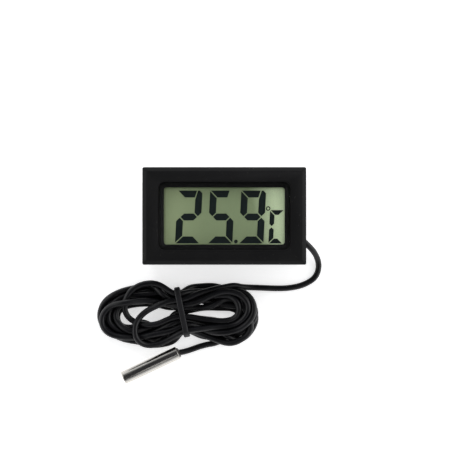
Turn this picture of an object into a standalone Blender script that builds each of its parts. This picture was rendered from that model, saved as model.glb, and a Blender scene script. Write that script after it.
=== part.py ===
"""Panel thermometer with a remote probe, lying on its back: +Z is the way the display faces, +Y its top edge.

The origin is the middle of the housing on the surface that it lies on. Sizes are in metres.
"""

import math

import bmesh
import bpy
from mathutils import Matrix, Vector

# Clearances between pieces
GAP = 0.0003
OVERSHOOT = 0.001  # how far a cutter runs past the face that it opens
BITE = 0.0002  # how far one shape runs into another before they are joined

# Bezel, which rests on the front of a panel
DEPTH = 0.0152  # rear face to bezel face
BEZEL_WIDTH = 0.048
BEZEL_HEIGHT = 0.0286
BEZEL_THICKNESS = 0.003
BEZEL_CORNER = 0.0005
CHAMFER_SIDE = 0.0012
CHAMFER_DROP = 0.0009

# Body behind the bezel
FLANGE_OVERHANG = 0.001
WALL = 0.0013
BODY_CORNER = 0.001

# Window in the bezel
RECESS_WIDTH = 0.0387
RECESS_HEIGHT = 0.02005
RECESS_CORNER = 0.0019
RECESS_DEPTH = 0.0014
LENS_SEAT = 0.00045
WINDOW_WIDTH = 0.0355
WINDOW_HEIGHT = 0.01675
WINDOW_CORNER = 0.00075
LEDGE_DROP = 0.0005
WINDOW_LIP = 0.0004
LENS_THICKNESS = 0.0008

# Liquid crystal cell, from the front
POLARISER_THICKNESS = 0.00015
GLASS_THICKNESS = 0.00055
FRONT_GLASS_BORDER = 0.00075  # front glass past the window, left and right
CONTACT_LEDGE = 0.0016  # front glass past the rear glass, above and below
REAR_GLASS_BORDER = 0.0003
POLARISER_BORDER = 0.00055
ZEBRA_WIDTH = 0.0012
ZEBRA_LENGTH = 0.034
RAIL_THICKNESS = 0.0006
RAIL_LENGTH = 0.034

# Rear cover and its battery door
COVER_THICKNESS = 0.003
TRACK_LIP = 0.001
TONGUE_THICKNESS = 0.0006
TONGUE_WIDTH = 0.001
DOOR_RECESS = 0.0003
DOOR_SIDE = 0.0007  # door past the cells at each side
DOOR_LOWER_EDGE = 0.0014  # door past the cells below
DOOR_GROOVES = 5
DOOR_GROOVE_WIDTH = 0.0007
DOOR_GROOVE_LENGTH = 0.012
DOOR_GROOVE_PITCH = 0.0013
DOOR_GROOVE_DEPTH = 0.0004
LIP_THICKNESS = 0.001
LIP_HEIGHT = 0.002
LIP_LENGTH = 0.034
SNAP_LENGTH = 0.004
SNAP_HEIGHT = 0.0007
SNAP_REACH = 0.0003
SNAP_SPREAD = 0.0105

# Button cells, side by side
CELL_DIAMETER = 0.0116
CELL_HEIGHT = 0.0054
CELL_CAP_DIAMETER = 0.0094
CELL_CAP_HEIGHT = 0.0004
WELL_CLEARANCE = 0.0004
CAGE_WALL = 0.001
CAGE_CORNER = 0.0025
CONTACT_THICKNESS = 0.0003
CONTACT_LENGTH = 0.0084
CONTACT_WIDTH = 0.0026
LINK_LENGTH = 0.0205
LINK_WIDTH = 0.006

# Circuit board
BOARD_THICKNESS = 0.001
BOARD_CORNER = 0.0008
SCREW_EDGE_X = 0.0015  # screw axis to the inside of the side wall
SCREW_EDGE_Y = 0.0021
SCREW_RADIUS = 0.0006
SCREW_HEAD_RADIUS = 0.0011
SCREW_HEAD_HEIGHT = 0.0008
SCREW_LENGTH = 0.0034
BOSS_RADIUS = 0.0013

# Small parts under the board
BLOB_RADIUS = 0.0026
BLOB_HEIGHT = 0.0011
CAN_RADIUS = 0.001
CAN_LENGTH = 0.006
BAY_SPREAD = 0.0052  # blob and crystal can, each way from the middle of their bay
CHIP_LENGTH = 0.002
CHIP_WIDTH = 0.00125
CHIP_HEIGHT = 0.0006
CHIP_PITCH = 0.0023
CHIP_SPACE = 0.0007  # screw head to the nearest chip

# Spring clips that hold the module in a panel
CLIP_WIDTH = 0.006
CLIP_THICKNESS = 0.001
CLIP_BARB = 0.00095
PANEL_SPACE = 0.003  # bezel to barb
CLIP_TRAVEL_DEG = 11.0
BARB_SHOULDER = 0.0007

# Cable
CABLE_RADIUS = 0.0009
OUTLET_HEIGHT = 0.0052
OUTLET_Y = -0.0062
OUTLET_ANGLE_DEG = -42.0
OUTLET_REACH = 0.0003  # cable end past the wall's outer face
BAY_CROSSING = 0.467  # how much of the space between side wall and cell cage the cable crosses
WIRE_RUN = 0.21  # how much of it the wires cross
COLLAR_RADIUS = 0.0019
COLLAR_LENGTH = 0.0012
COLLAR_INSET = 0.0053  # collar's middle to the cable end
WIRE_RADIUS = 0.00035
WIRE_SPREAD = 0.0009
ROUTE_SPACING = 0.004  # between the points of a free length

# Free lead, from the housing to the hank
LEAD_ROUTE = [
    (0.0249, -0.0086, 0.00505),
    (0.0263, -0.0100, 0.0042),
    (0.0274, -0.0115, 0.0029),
    (0.0282, -0.0132, 0.0016),
    (0.0285, -0.0151, 0.00095),
    (0.0281, -0.0171, 0.0009),
    (0.0271, -0.0187, 0.0009),
    (0.0250, -0.02015, 0.0009),
    (0.0223, -0.02115, 0.0009),
    (0.0190, -0.0217, 0.0009),
    (0.0155, -0.0218, 0.0009),
    (0.0120, -0.02165, 0.0009),
    (0.0093, -0.02145, 0.0009),
    (0.0078, -0.0213, 0.0009),
]

# Free end, from the hank to the probe
TAIL_ROUTE = [
    (-0.0031, -0.0384, 0.0009),
    (-0.0052, -0.0388, 0.0009),
    (-0.0075, -0.0394, 0.0009),
    (-0.0098, -0.0402, 0.0010),
    (-0.0118, -0.0408, 0.0013),
    (-0.01365, -0.04115, 0.0017),
]

# Hank: the outline of the folded turns, seen from above
HANK_OUTLINE = [
    (-0.0380, -0.0300),
    (-0.0358, -0.0248),
    (-0.0300, -0.0213),
    (-0.0222, -0.0199),
    (-0.0165, -0.0214),
    (-0.0128, -0.0226),
    (-0.0085, -0.0224),
    (-0.0030, -0.0214),
    (0.0030, -0.0214),
    (0.0078, -0.0233),
    (0.0098, -0.0290),
    (0.0088, -0.0345),
    (0.0030, -0.0386),
    (-0.0045, -0.0368),
    (-0.0115, -0.0352),
    (-0.0165, -0.0372),
    (-0.0232, -0.0397),
    (-0.0290, -0.0386),
    (-0.0352, -0.0366),
]
HANK_HEIGHT = 0.0062
OUTLINE_STEPS = 4

# Band round the hank
TIE_CENTRE = (-0.01273, -0.0289)
TIE_LEAN_DEG = 11.8
TIE_LENGTH = 0.0149
TIE_WIDTH = 0.0017
TIE_THICKNESS = 0.0008
TIE_HEIGHT = 0.007
TIE_CORNER = 0.0024

# Probe
PROBE_MOUTH = (-0.0140, -0.0411)
PROBE_TURN_DEG = 205.05
PROBE_RADIUS = 0.002
PROBE_LENGTH = 0.0182
PROBE_WALL = 0.00035
PROBE_TIP_ROUND = 0.0004
POTTING_LENGTH = 0.0035
POTTING_RECESS = 0.0004
BEAD_RADIUS = 0.0009
BEAD_LENGTH = 0.0032

ROUND_STEPS = 32
SMALL_ROUND_STEPS = 20
CORNER_STEPS = 4

# Places that follow from the sizes above
BODY_WIDTH = BEZEL_WIDTH - 2 * FLANGE_OVERHANG
BODY_HEIGHT = BEZEL_HEIGHT - 2 * FLANGE_OVERHANG
INNER_WIDTH = BODY_WIDTH - 2 * WALL
INNER_HEIGHT = BODY_HEIGHT - 2 * WALL
FLANGE_Z = DEPTH - BEZEL_THICKNESS
WALL_FOOT = COVER_THICKNESS + GAP
SEAT_Z = DEPTH - RECESS_DEPTH
LEDGE_Z = SEAT_Z - LEDGE_DROP
WEB_Z = LEDGE_Z - WINDOW_LIP

POLARISER_Z = WEB_Z - GAP - POLARISER_THICKNESS
FRONT_GLASS_Z = POLARISER_Z - GAP - GLASS_THICKNESS
REAR_GLASS_Z = FRONT_GLASS_Z - GAP - GLASS_THICKNESS
REFLECTOR_Z = REAR_GLASS_Z - GAP - POLARISER_THICKNESS
REAR_GLASS_HEIGHT = WINDOW_HEIGHT + 2 * REAR_GLASS_BORDER
FRONT_GLASS_WIDTH = WINDOW_WIDTH + 2 * FRONT_GLASS_BORDER
FRONT_GLASS_HEIGHT = REAR_GLASS_HEIGHT + 2 * CONTACT_LEDGE
ZEBRA_Y = REAR_GLASS_HEIGHT / 2 + GAP + ZEBRA_WIDTH / 2
RAIL_Y = FRONT_GLASS_HEIGHT / 2 + GAP + RAIL_THICKNESS / 2

DOOR_TOP = TRACK_LIP + GAP + TONGUE_THICKNESS
TRACK_TOP = DOOR_TOP + GAP
CELL_Z = DOOR_TOP + GAP
CELL_TOP = CELL_Z + CELL_HEIGHT
CELL_X = CELL_DIAMETER / 2 + WELL_CLEARANCE / 2
CONTACT_Z = CELL_TOP + GAP
BOARD_Z = CONTACT_Z + CONTACT_THICKNESS + GAP
BOARD_TOP = BOARD_Z + BOARD_THICKNESS
WELL_RADIUS = CELL_DIAMETER / 2 + WELL_CLEARANCE
CAGE_SIDE = CELL_X + WELL_RADIUS + CAGE_WALL
BAY_WIDTH = INNER_WIDTH / 2 - CAGE_SIDE
DOOR_HALF_WIDTH = CELL_X + CELL_DIAMETER / 2 + DOOR_SIDE
DOOR_LOW = -CELL_DIAMETER / 2 - DOOR_LOWER_EDGE
DOOR_HIGH = BODY_HEIGHT / 2

SCREW_X = INNER_WIDTH / 2 - SCREW_EDGE_X
SCREW_Y = INNER_HEIGHT / 2 - SCREW_EDGE_Y
SCREW_HOLE_RADIUS = SCREW_RADIUS + GAP
BOSS_Z = BOARD_TOP + GAP
CLIP_TOP = FLANGE_Z - PANEL_SPACE
CLIP_HINGE_Z = WALL_FOOT + 2 * BITE
OUTLET_DIRECTION = Matrix.Rotation(math.radians(OUTLET_ANGLE_DEG), 3, "Z") @ Vector((1, 0, 0))
INNER_LENGTH = (WALL + OUTLET_REACH + BAY_CROSSING * BAY_WIDTH) / OUTLET_DIRECTION.x
OUTLET_MIDDLE = Vector((BODY_WIDTH / 2 - WALL / 2, OUTLET_Y, OUTLET_HEIGHT))
PROBE_TURN = Matrix.Rotation(math.radians(PROBE_TURN_DEG), 4, "Z")


# Scene, materials and collections


def clear_scene():
    for obj in list(bpy.data.objects):
        bpy.data.objects.remove(obj, do_unlink=True)


def new_collection(name):
    collection = bpy.data.collections.new(name)
    bpy.context.scene.collection.children.link(collection)
    return collection


def new_material(name, colour, roughness, metallic=0.0):
    material = bpy.data.materials.new(name)
    material.use_nodes = True
    shader = material.node_tree.nodes["Principled BSDF"]
    shader.inputs["Base Color"].default_value = (*colour, 1.0)
    shader.inputs["Roughness"].default_value = roughness
    shader.inputs["Metallic"].default_value = metallic
    material.diffuse_color = (*colour, 1.0)
    return material


clear_scene()
parts = new_collection("panel_thermometer")
cutters = new_collection("cutters")


def add_object(name, data, material, location=(0, 0, 0)):
    obj = bpy.data.objects.new(name, data)
    obj.location = location
    parts.objects.link(obj)
    if material:
        data.materials.append(material)
    return obj


def as_cutter(obj):
    """Moves a shape to the cutters, where it is drawn as wire and never rendered."""
    parts.objects.unlink(obj)
    cutters.objects.link(obj)
    obj.hide_render = True
    obj.display_type = "WIRE"
    return obj


# Shapes


def mesh_from(name, bm):
    bmesh.ops.recalc_face_normals(bm, faces=bm.faces)
    mesh = bpy.data.meshes.new(name)
    bm.to_mesh(mesh)
    bm.free()
    return mesh


def box(name, x, y, z, material=None, location=(0, 0, 0)):
    """A block between the two values of each axis."""
    bm = bmesh.new()
    bmesh.ops.create_cube(bm, size=1)
    size = Vector((x[1] - x[0], y[1] - y[0], z[1] - z[0]))
    middle = Vector((x[0] + x[1], y[0] + y[1], z[0] + z[1])) / 2
    bmesh.ops.scale(bm, vec=size, verts=bm.verts)
    bmesh.ops.translate(bm, vec=middle, verts=bm.verts)
    return add_object(name, mesh_from(name, bm), material, location)


def slab(name, width, height, corner, z, material=None, middle=(0, 0)):
    """A flat block whose four upright edges are rounded."""
    bm = bmesh.new()
    bmesh.ops.create_cube(bm, size=1)
    bmesh.ops.scale(bm, vec=(width, height, z[1] - z[0]), verts=bm.verts)
    bmesh.ops.translate(bm, vec=(*middle, (z[0] + z[1]) / 2), verts=bm.verts)
    upright = [e for e in bm.edges if abs(e.verts[0].co.z - e.verts[1].co.z) > (z[1] - z[0]) / 2]
    bmesh.ops.bevel(bm, geom=upright, offset=corner, segments=CORNER_STEPS, profile=0.5, affect="EDGES")
    return add_object(name, mesh_from(name, bm), material)


def rounded_outline(width, height, corner):
    """Points anticlockwise round a rectangle with round corners."""
    points = []
    for quarter in range(4):
        across = 1 if quarter in (0, 3) else -1
        up = 1 if quarter in (0, 1) else -1
        centre = Vector((across * (width / 2 - corner), up * (height / 2 - corner)))
        for step in range(CORNER_STEPS + 1):
            angle = math.radians(90) * (quarter + step / CORNER_STEPS)
            points.append(centre + corner * Vector((math.cos(angle), math.sin(angle))))
    return points


def loft(name, sections, material=None):
    """A solid through rounded rectangles, each (width, height, corner, z), from the bottom up."""
    bm = bmesh.new()
    rings = []
    for width, height, corner, z in sections:
        rings.append([bm.verts.new((*point, z)) for point in rounded_outline(width, height, corner)])
    bm.faces.new(rings[0])
    bm.faces.new(rings[-1])
    for lower, upper in zip(rings, rings[1:]):
        for i in range(len(lower)):
            j = (i + 1) % len(lower)
            bm.faces.new((lower[i], lower[j], upper[j], upper[i]))
    return add_object(name, mesh_from(name, bm), material)


def cylinder(name, radius, z, middle=(0, 0), steps=ROUND_STEPS, material=None):
    bm = bmesh.new()
    place = Matrix.Translation((*middle, (z[0] + z[1]) / 2))
    bmesh.ops.create_cone(
        bm, cap_ends=True, segments=steps, radius1=radius, radius2=radius, depth=z[1] - z[0], matrix=place
    )
    obj = add_object(name, mesh_from(name, bm), material)
    smooth(obj)
    return obj


def smooth(obj):
    obj.data.shade_smooth()
    obj.data.set_sharp_from_angle(angle=math.radians(35))


def turned(name, profile, material, steps=ROUND_STEPS):
    """A profile of (radius, z), top to bottom down its outer side, turned about Z."""
    mesh = bpy.data.meshes.new(name)
    edges = [(i, (i + 1) % len(profile)) for i in range(len(profile))]
    if profile[0][0] == 0 and profile[-1][0] == 0:
        edges.pop()
    mesh.from_pydata([(radius, 0, z) for radius, z in profile], edges, [])
    obj = add_object(name, mesh, material)
    screw = obj.modifiers.new("turn", "SCREW")
    screw.steps = screw.render_steps = steps
    screw.use_merge_vertices = True
    screw.merge_threshold = 0.00001
    screw.use_smooth_shade = True
    return obj


def tube(name, points, radius, material):
    """A round wire along a chain of points."""
    curve = bpy.data.curves.new(name, "CURVE")
    curve.dimensions = "3D"
    curve.bevel_depth = radius
    curve.bevel_resolution = 2
    curve.use_fill_caps = True
    spline = curve.splines.new("POLY")
    spline.points.add(len(points) - 1)
    for point, place in zip(spline.points, points):
        point.co = (*place, 1)
    return add_object(name, curve, material)


def flat_outline(name, outlines, thickness, material):
    """A plate in the XY plane, thickness along Z; every outline after the first is a hole."""
    curve = bpy.data.curves.new(name, "CURVE")
    curve.dimensions = "2D"
    curve.fill_mode = "BOTH"
    curve.extrude = thickness / 2
    for outline in outlines:
        spline = curve.splines.new("POLY")
        spline.points.add(len(outline) - 1)
        spline.use_cyclic_u = True
        for point, place in zip(spline.points, outline):
            point.co = (place[0], place[1], 0, 1)
    return add_object(name, curve, material)


def made_mesh(curve_object):
    """Replaces a curve object with a welded mesh in its place, so that it can be cut."""
    name, place, material = curve_object.name, curve_object.matrix_basis.copy(), curve_object.data.materials[0]
    graph = bpy.context.evaluated_depsgraph_get()
    mesh = bpy.data.meshes.new_from_object(curve_object.evaluated_get(graph))
    bm = bmesh.new()
    bm.from_mesh(mesh)
    bmesh.ops.remove_doubles(bm, verts=bm.verts, dist=0.000001)
    bmesh.ops.recalc_face_normals(bm, faces=bm.faces)
    bm.to_mesh(mesh)
    bm.free()
    bpy.data.objects.remove(curve_object)
    obj = add_object(name, mesh, None if mesh.materials else material)
    obj.matrix_basis = place
    return obj


def smooth_route(points, spacing):
    """Places about one spacing apart on a smooth curve through the points."""
    ends = [2 * points[0] - points[1], *points, 2 * points[-1] - points[-2]]
    route = [points[0]]
    for before, start, end, after in zip(ends, ends[1:], ends[2:], ends[3:]):
        steps = max(1, round((end - start).length / spacing))
        for step in range(1, steps + 1):
            t = step / steps
            route.append(
                0.5
                * (
                    2 * start
                    + (end - before) * t
                    + (2 * before - 5 * start + 4 * end - after) * t**2
                    + (3 * start - before - 3 * end + after) * t**3
                )
            )
    return route


def boolean(target, other, operation):
    modifier = target.modifiers.new(f"{operation.lower()} {other.name}", "BOOLEAN")
    modifier.operation = operation
    modifier.object = as_cutter(other)


def cut(target, *others):
    for other in others:
        boolean(target, other, "DIFFERENCE")


def join(target, *others):
    for other in others:
        boolean(target, other, "UNION")


def corners(x, y):
    return [(side * x, end * y) for side in (-1, 1) for end in (-1, 1)]


# Housing


def front_housing(material):
    housing = loft(
        "front_housing",
        [
            (BEZEL_WIDTH, BEZEL_HEIGHT, BEZEL_CORNER, FLANGE_Z),
            (BEZEL_WIDTH, BEZEL_HEIGHT, BEZEL_CORNER, DEPTH - CHAMFER_DROP),
            (BEZEL_WIDTH - 2 * CHAMFER_SIDE, BEZEL_HEIGHT - 2 * CHAMFER_SIDE, BEZEL_CORNER, DEPTH),
        ],
        material,
    )
    join(housing, slab("body_walls", BODY_WIDTH, BODY_HEIGHT, BODY_CORNER, (WALL_FOOT, FLANGE_Z + BITE)))
    cut(housing, slab("cavity", INNER_WIDTH, INNER_HEIGHT, BITE, (WALL_FOOT - OVERSHOOT, WEB_Z)))
    cut_window(housing)
    join_board_bosses(housing)
    for side in (-1, 1):
        rail_y = (side * RAIL_Y - RAIL_THICKNESS / 2, side * RAIL_Y + RAIL_THICKNESS / 2)
        half = RAIL_LENGTH / 2
        join(housing, box(f"rail_{side}", (-half, half), rail_y, (BOARD_TOP + GAP, WEB_Z + BITE)))
    cut_wall_openings(housing)
    return housing


def cut_window(housing):
    recess = slab("recess", RECESS_WIDTH, RECESS_HEIGHT, RECESS_CORNER, (SEAT_Z, DEPTH + OVERSHOOT))
    seat_width = RECESS_WIDTH - 2 * LENS_SEAT
    seat_height = RECESS_HEIGHT - 2 * LENS_SEAT
    seat_corner = RECESS_CORNER - LENS_SEAT
    ledge = loft(
        "ledge",
        [
            (WINDOW_WIDTH, WINDOW_HEIGHT, WINDOW_CORNER, WEB_Z - OVERSHOOT),
            (WINDOW_WIDTH, WINDOW_HEIGHT, WINDOW_CORNER, LEDGE_Z),
            (seat_width, seat_height, seat_corner, SEAT_Z),
            (seat_width, seat_height, seat_corner, SEAT_Z + BITE),
        ],
    )
    cut(housing, recess, ledge)


def join_board_bosses(housing):
    for number, (x, y) in enumerate(corners(SCREW_X, SCREW_Y), 1):
        wall_x = math.copysign(INNER_WIDTH / 2 + BITE, x)
        boss = cylinder(f"boss_{number}", BOSS_RADIUS, (BOSS_Z, WEB_Z + BITE), (x, y), SMALL_ROUND_STEPS)
        gusset = box(
            f"gusset_{number}",
            sorted((x, wall_x)),
            (y - BOSS_RADIUS / 2, y + BOSS_RADIUS / 2),
            (BOSS_Z + BITE, WEB_Z + 2 * BITE),
        )
        join(housing, boss, gusset)
        pilot_top = BOARD_Z - GAP + SCREW_LENGTH + GAP
        cut(
            housing,
            cylinder(
                f"pilot_{number}", SCREW_HOLE_RADIUS, (BOSS_Z - OVERSHOOT, pilot_top), (x, y), SMALL_ROUND_STEPS
            ),
        )


def cut_wall_openings(housing):
    half = CLIP_WIDTH / 2 + GAP
    for side in (-1, 1):
        across = sorted((side * (INNER_WIDTH / 2 - OVERSHOOT), side * (BODY_WIDTH / 2 + OVERSHOOT)))
        cut(housing, box(f"clip_slot_{side}", across, (-half, half), (WALL_FOOT - OVERSHOOT, CLIP_TOP + GAP)))
    outlet = cylinder("outlet", CABLE_RADIUS + GAP, (-3 * WALL, 3 * WALL), steps=SMALL_ROUND_STEPS)
    outlet.rotation_mode = "QUATERNION"
    outlet.rotation_quaternion = OUTLET_DIRECTION.to_track_quat("Z", "Y")
    outlet.location = OUTLET_MIDDLE
    cut(housing, outlet)
    for number, (x, y) in enumerate(corners(SNAP_SPREAD, 1), 1):
        low_z, high_z = snap_z()
        half = SNAP_LENGTH / 2 + GAP
        inner = INNER_HEIGHT / 2
        across = sorted((y * (inner - BITE), y * (inner + SNAP_REACH + GAP)))
        cut(housing, box(f"snap_slot_{number}", (x - half, x + half), across, (low_z - GAP, high_z + GAP)))


def snap_z():
    """Heights of the snap ridges' lower and upper faces."""
    middle = COVER_THICKNESS + LIP_HEIGHT / 2 + GAP
    return middle - SNAP_HEIGHT / 2, middle + SNAP_HEIGHT / 2


def rear_cover(material):
    cover = slab("rear_cover", BODY_WIDTH, BODY_HEIGHT, BODY_CORNER, (0, COVER_THICKNESS), material)
    cage_height = 2 * (WELL_RADIUS + CAGE_WALL)
    join(cover, slab("cage", 2 * CAGE_SIDE, cage_height, CAGE_CORNER, (COVER_THICKNESS - BITE, CELL_TOP)))
    low_z, high_z = snap_z()
    lip_outer = INNER_HEIGHT / 2 - GAP
    for side in (-1, 1):
        across = sorted((side * (lip_outer - LIP_THICKNESS), side * lip_outer))
        height = (COVER_THICKNESS - BITE, COVER_THICKNESS + LIP_HEIGHT)
        join(cover, box(f"lip_{side}", (-LIP_LENGTH / 2, LIP_LENGTH / 2), across, height))
    for number, (x, y) in enumerate(corners(SNAP_SPREAD, 1), 1):
        across = sorted((y * (lip_outer - BITE), y * (INNER_HEIGHT / 2 + SNAP_REACH)))
        half = SNAP_LENGTH / 2
        join(cover, box(f"snap_{number}", (x - half, x + half), across, (low_z, high_z)))
    cut_battery_bay(cover)
    return cover


def cut_battery_bay(cover):
    for side in (-1, 1):
        well_z = (TRACK_LIP, CELL_TOP + OVERSHOOT)
        cut(cover, cylinder(f"well_{side}", WELL_RADIUS, well_z, (side * CELL_X, 0)))
    along = (DOOR_LOW - GAP, BODY_HEIGHT / 2 + OVERSHOOT)
    mouth = DOOR_HALF_WIDTH + GAP
    track = mouth + TONGUE_WIDTH
    cut(
        cover,
        box("door_mouth", (-mouth, mouth), along, (-OVERSHOOT, TRACK_LIP + BITE)),
        box("door_track", (-track, track), along, (TRACK_LIP, TRACK_TOP)),
    )


def battery_door(material):
    """The door's origin is the middle of its closed lower edge, on the line that it slides along."""
    length = DOOR_HIGH - DOOR_LOW
    half = DOOR_HALF_WIDTH
    door = box("battery_door", (-half, half), (0, length), (DOOR_RECESS, DOOR_TOP), material)
    door.location = (0, DOOR_LOW, 0)
    tongue = half + TONGUE_WIDTH
    tongue_z = (TRACK_LIP + GAP, DOOR_TOP)
    tongues = box("door_tongues", (-tongue, tongue), (DOOR_LOW, DOOR_HIGH), tongue_z)
    join(door, tongues)
    pocket_x = LINK_LENGTH / 2 + GAP
    pocket_y = LINK_WIDTH / 2 + GAP
    floor = DOOR_TOP - CONTACT_THICKNESS - GAP
    cut(
        door,
        box("link_pocket", (-pocket_x, pocket_x), (-pocket_y, pocket_y), (floor, DOOR_TOP + OVERSHOOT)),
    )
    first = DOOR_HIGH - DOOR_GROOVES * DOOR_GROOVE_PITCH
    for number in range(DOOR_GROOVES):
        low = first + number * DOOR_GROOVE_PITCH - DOOR_GROOVE_WIDTH
        groove_half = DOOR_GROOVE_LENGTH / 2
        groove = box(
            f"door_groove_{number + 1}",
            (-groove_half, groove_half),
            (low, low + DOOR_GROOVE_WIDTH),
            (DOOR_RECESS - OVERSHOOT, DOOR_RECESS + DOOR_GROOVE_DEPTH),
        )
        cut(door, groove)
    return door


def panel_clip(name, side, material):
    """A spring ear whose origin is on the line that it bends about; side is 1 on the right."""
    foot = WALL_FOOT - CLIP_HINGE_Z
    top = CLIP_TOP - CLIP_HINGE_Z
    half = CLIP_THICKNESS / 2
    barb = half + CLIP_BARB
    profile = [
        (-half, foot),
        (half, foot),
        (half, foot + (top - foot) / 4),
        (barb, top - BARB_SHOULDER),
        (barb, top),
        (-half, top),
    ]
    clip = flat_outline(name, [[(side * x, z) for x, z in profile]], CLIP_WIDTH, material)
    clip.rotation_euler = (math.radians(90), 0, 0)
    clip.location = (side * (BODY_WIDTH / 2 - half), 0, CLIP_HINGE_Z)
    return clip


# Display


def display(clear, polariser_film, glass, reflective_film, rubber):
    lens_z = SEAT_Z + GAP
    slab(
        "window_lens",
        RECESS_WIDTH - 2 * GAP,
        RECESS_HEIGHT - 2 * GAP,
        RECESS_CORNER - GAP,
        (lens_z, lens_z + LENS_THICKNESS),
        clear,
    )
    film_width = WINDOW_WIDTH + 2 * POLARISER_BORDER
    film_height = WINDOW_HEIGHT + 2 * REAR_GLASS_BORDER
    layers = [
        ("front_polariser", film_width, film_height, POLARISER_Z, POLARISER_THICKNESS, polariser_film),
        ("lcd_front_glass", FRONT_GLASS_WIDTH, FRONT_GLASS_HEIGHT, FRONT_GLASS_Z, GLASS_THICKNESS, glass),
        ("lcd_rear_glass", FRONT_GLASS_WIDTH, REAR_GLASS_HEIGHT, REAR_GLASS_Z, GLASS_THICKNESS, glass),
        ("rear_reflector", film_width, film_height, REFLECTOR_Z, POLARISER_THICKNESS, reflective_film),
    ]
    for name, width, height, z, thickness, material in layers:
        box(name, (-width / 2, width / 2), (-height / 2, height / 2), (z, z + thickness), material)
    for name, side in (("zebra_strip_lower", -1), ("zebra_strip_upper", 1)):
        middle = side * ZEBRA_Y
        box(
            name,
            (-ZEBRA_LENGTH / 2, ZEBRA_LENGTH / 2),
            (middle - ZEBRA_WIDTH / 2, middle + ZEBRA_WIDTH / 2),
            (BOARD_TOP + GAP, FRONT_GLASS_Z - GAP),
            rubber,
        )


# Circuit board and what is on it


def circuit_board(material):
    width = INNER_WIDTH - 2 * GAP
    height = INNER_HEIGHT - 2 * GAP
    board = slab("circuit_board", width, height, BOARD_CORNER, (BOARD_Z, BOARD_TOP), material)
    through = (BOARD_Z - OVERSHOOT, BOARD_TOP + OVERSHOOT)
    for number, place in enumerate(corners(SCREW_X, SCREW_Y), 1):
        cut(board, cylinder(f"board_hole_{number}", SCREW_HOLE_RADIUS, through, place, SMALL_ROUND_STEPS))
    room = math.sin(math.radians(CLIP_TRAVEL_DEG)) * (CLIP_TOP - CLIP_HINGE_Z)
    edge = BODY_WIDTH / 2 - CLIP_THICKNESS - room - 2 * GAP
    half = CLIP_WIDTH / 2 + GAP
    for side in (-1, 1):
        across = sorted((side * edge, side * (INNER_WIDTH / 2 + OVERSHOOT)))
        cut(board, box(f"clip_room_{side}", across, (-half, half), through))
    return board


def board_screws(material):
    top = BOARD_Z - GAP
    head_round = SCREW_HEAD_HEIGHT / 3
    profile = [
        (0, top + SCREW_LENGTH),
        (SCREW_RADIUS / 2, top + SCREW_LENGTH),
        (SCREW_RADIUS, top + SCREW_LENGTH - SCREW_RADIUS),
        (SCREW_RADIUS, top),
        (SCREW_HEAD_RADIUS, top),
        (SCREW_HEAD_RADIUS, top - SCREW_HEAD_HEIGHT + head_round),
        (SCREW_HEAD_RADIUS - head_round, top - SCREW_HEAD_HEIGHT),
        (0, top - SCREW_HEAD_HEIGHT),
    ]
    for number, (x, y) in enumerate(corners(SCREW_X, SCREW_Y), 1):
        screw = turned(f"board_screw_{number}", profile, material, SMALL_ROUND_STEPS)
        screw.location = (x, y, 0)


def board_parts(black_resin, ceramic, bright_metal):
    """Small parts under the board, in the space between the cell cage and the side walls."""
    underside = BOARD_Z - GAP
    bay_x = CAGE_SIDE + BAY_WIDTH / 2
    blob_profile = [
        (0, underside),
        (BLOB_RADIUS, underside),
        (BLOB_RADIUS * 0.92, underside - BLOB_HEIGHT * 0.45),
        (BLOB_RADIUS * 0.6, underside - BLOB_HEIGHT * 0.88),
        (0, underside - BLOB_HEIGHT),
    ]
    blob = turned("chip_blob", blob_profile, black_resin, SMALL_ROUND_STEPS)
    blob.location = (-bay_x, BAY_SPREAD, 0)

    can_ends = (-CAN_LENGTH / 2, CAN_LENGTH / 2)
    can = cylinder("crystal_can", CAN_RADIUS, can_ends, (0, 0), SMALL_ROUND_STEPS, bright_metal)
    can.rotation_euler = (math.radians(90), 0, 0)
    can.location = (-bay_x, -BAY_SPREAD, underside - CAN_RADIUS)

    along = (bay_x - CHIP_LENGTH / 2, bay_x + CHIP_LENGTH / 2)
    high = SCREW_Y - SCREW_HEAD_RADIUS - CHIP_SPACE
    for name in ("chip_capacitor", "chip_resistor_2", "chip_resistor_1"):
        box(name, along, (high - CHIP_WIDTH, high), (underside - CHIP_HEIGHT, underside), ceramic)
        high -= CHIP_PITCH


def battery_contacts(material):
    z = (CONTACT_Z, CONTACT_Z + CONTACT_THICKNESS)
    length, width = CONTACT_LENGTH, CONTACT_WIDTH
    slab("positive_contact", length, length, width / 2, z, material, (-CELL_X, 0))
    spring = slab("negative_contact", length, width, width / 4, z, material, (CELL_X, 0))
    arm = slab("negative_arm", width, length, width / 4, z, None, (CELL_X, 0))
    join(spring, arm)
    door_z = DOOR_TOP - CONTACT_THICKNESS
    slab("battery_link_plate", LINK_LENGTH, LINK_WIDTH, LINK_WIDTH / 4, (door_z, DOOR_TOP), material)


def button_cells(material):
    """Left cell: its positive can faces the board. Right cell: turned over, so that the two are in series."""
    radius = CELL_DIAMETER / 2
    cap = CELL_CAP_DIAMETER / 2
    rounding = CELL_CAP_HEIGHT / 2
    half = CELL_HEIGHT / 2
    profile = [
        (0, half),
        (radius - rounding, half),
        (radius, half - rounding),
        (radius, -half + CELL_CAP_HEIGHT + rounding),
        (radius - rounding, -half + CELL_CAP_HEIGHT),
        (cap, -half + CELL_CAP_HEIGHT),
        (cap - rounding, -half),
        (0, -half),
    ]
    for name, side in (("button_cell_left", -1), ("button_cell_right", 1)):
        cell = turned(name, profile, material)
        cell.location = (side * CELL_X, 0, CELL_Z + half)
        cell.rotation_euler = (0, math.radians(180) if side > 0 else 0, 0)


# Cable, hank and probe


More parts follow.
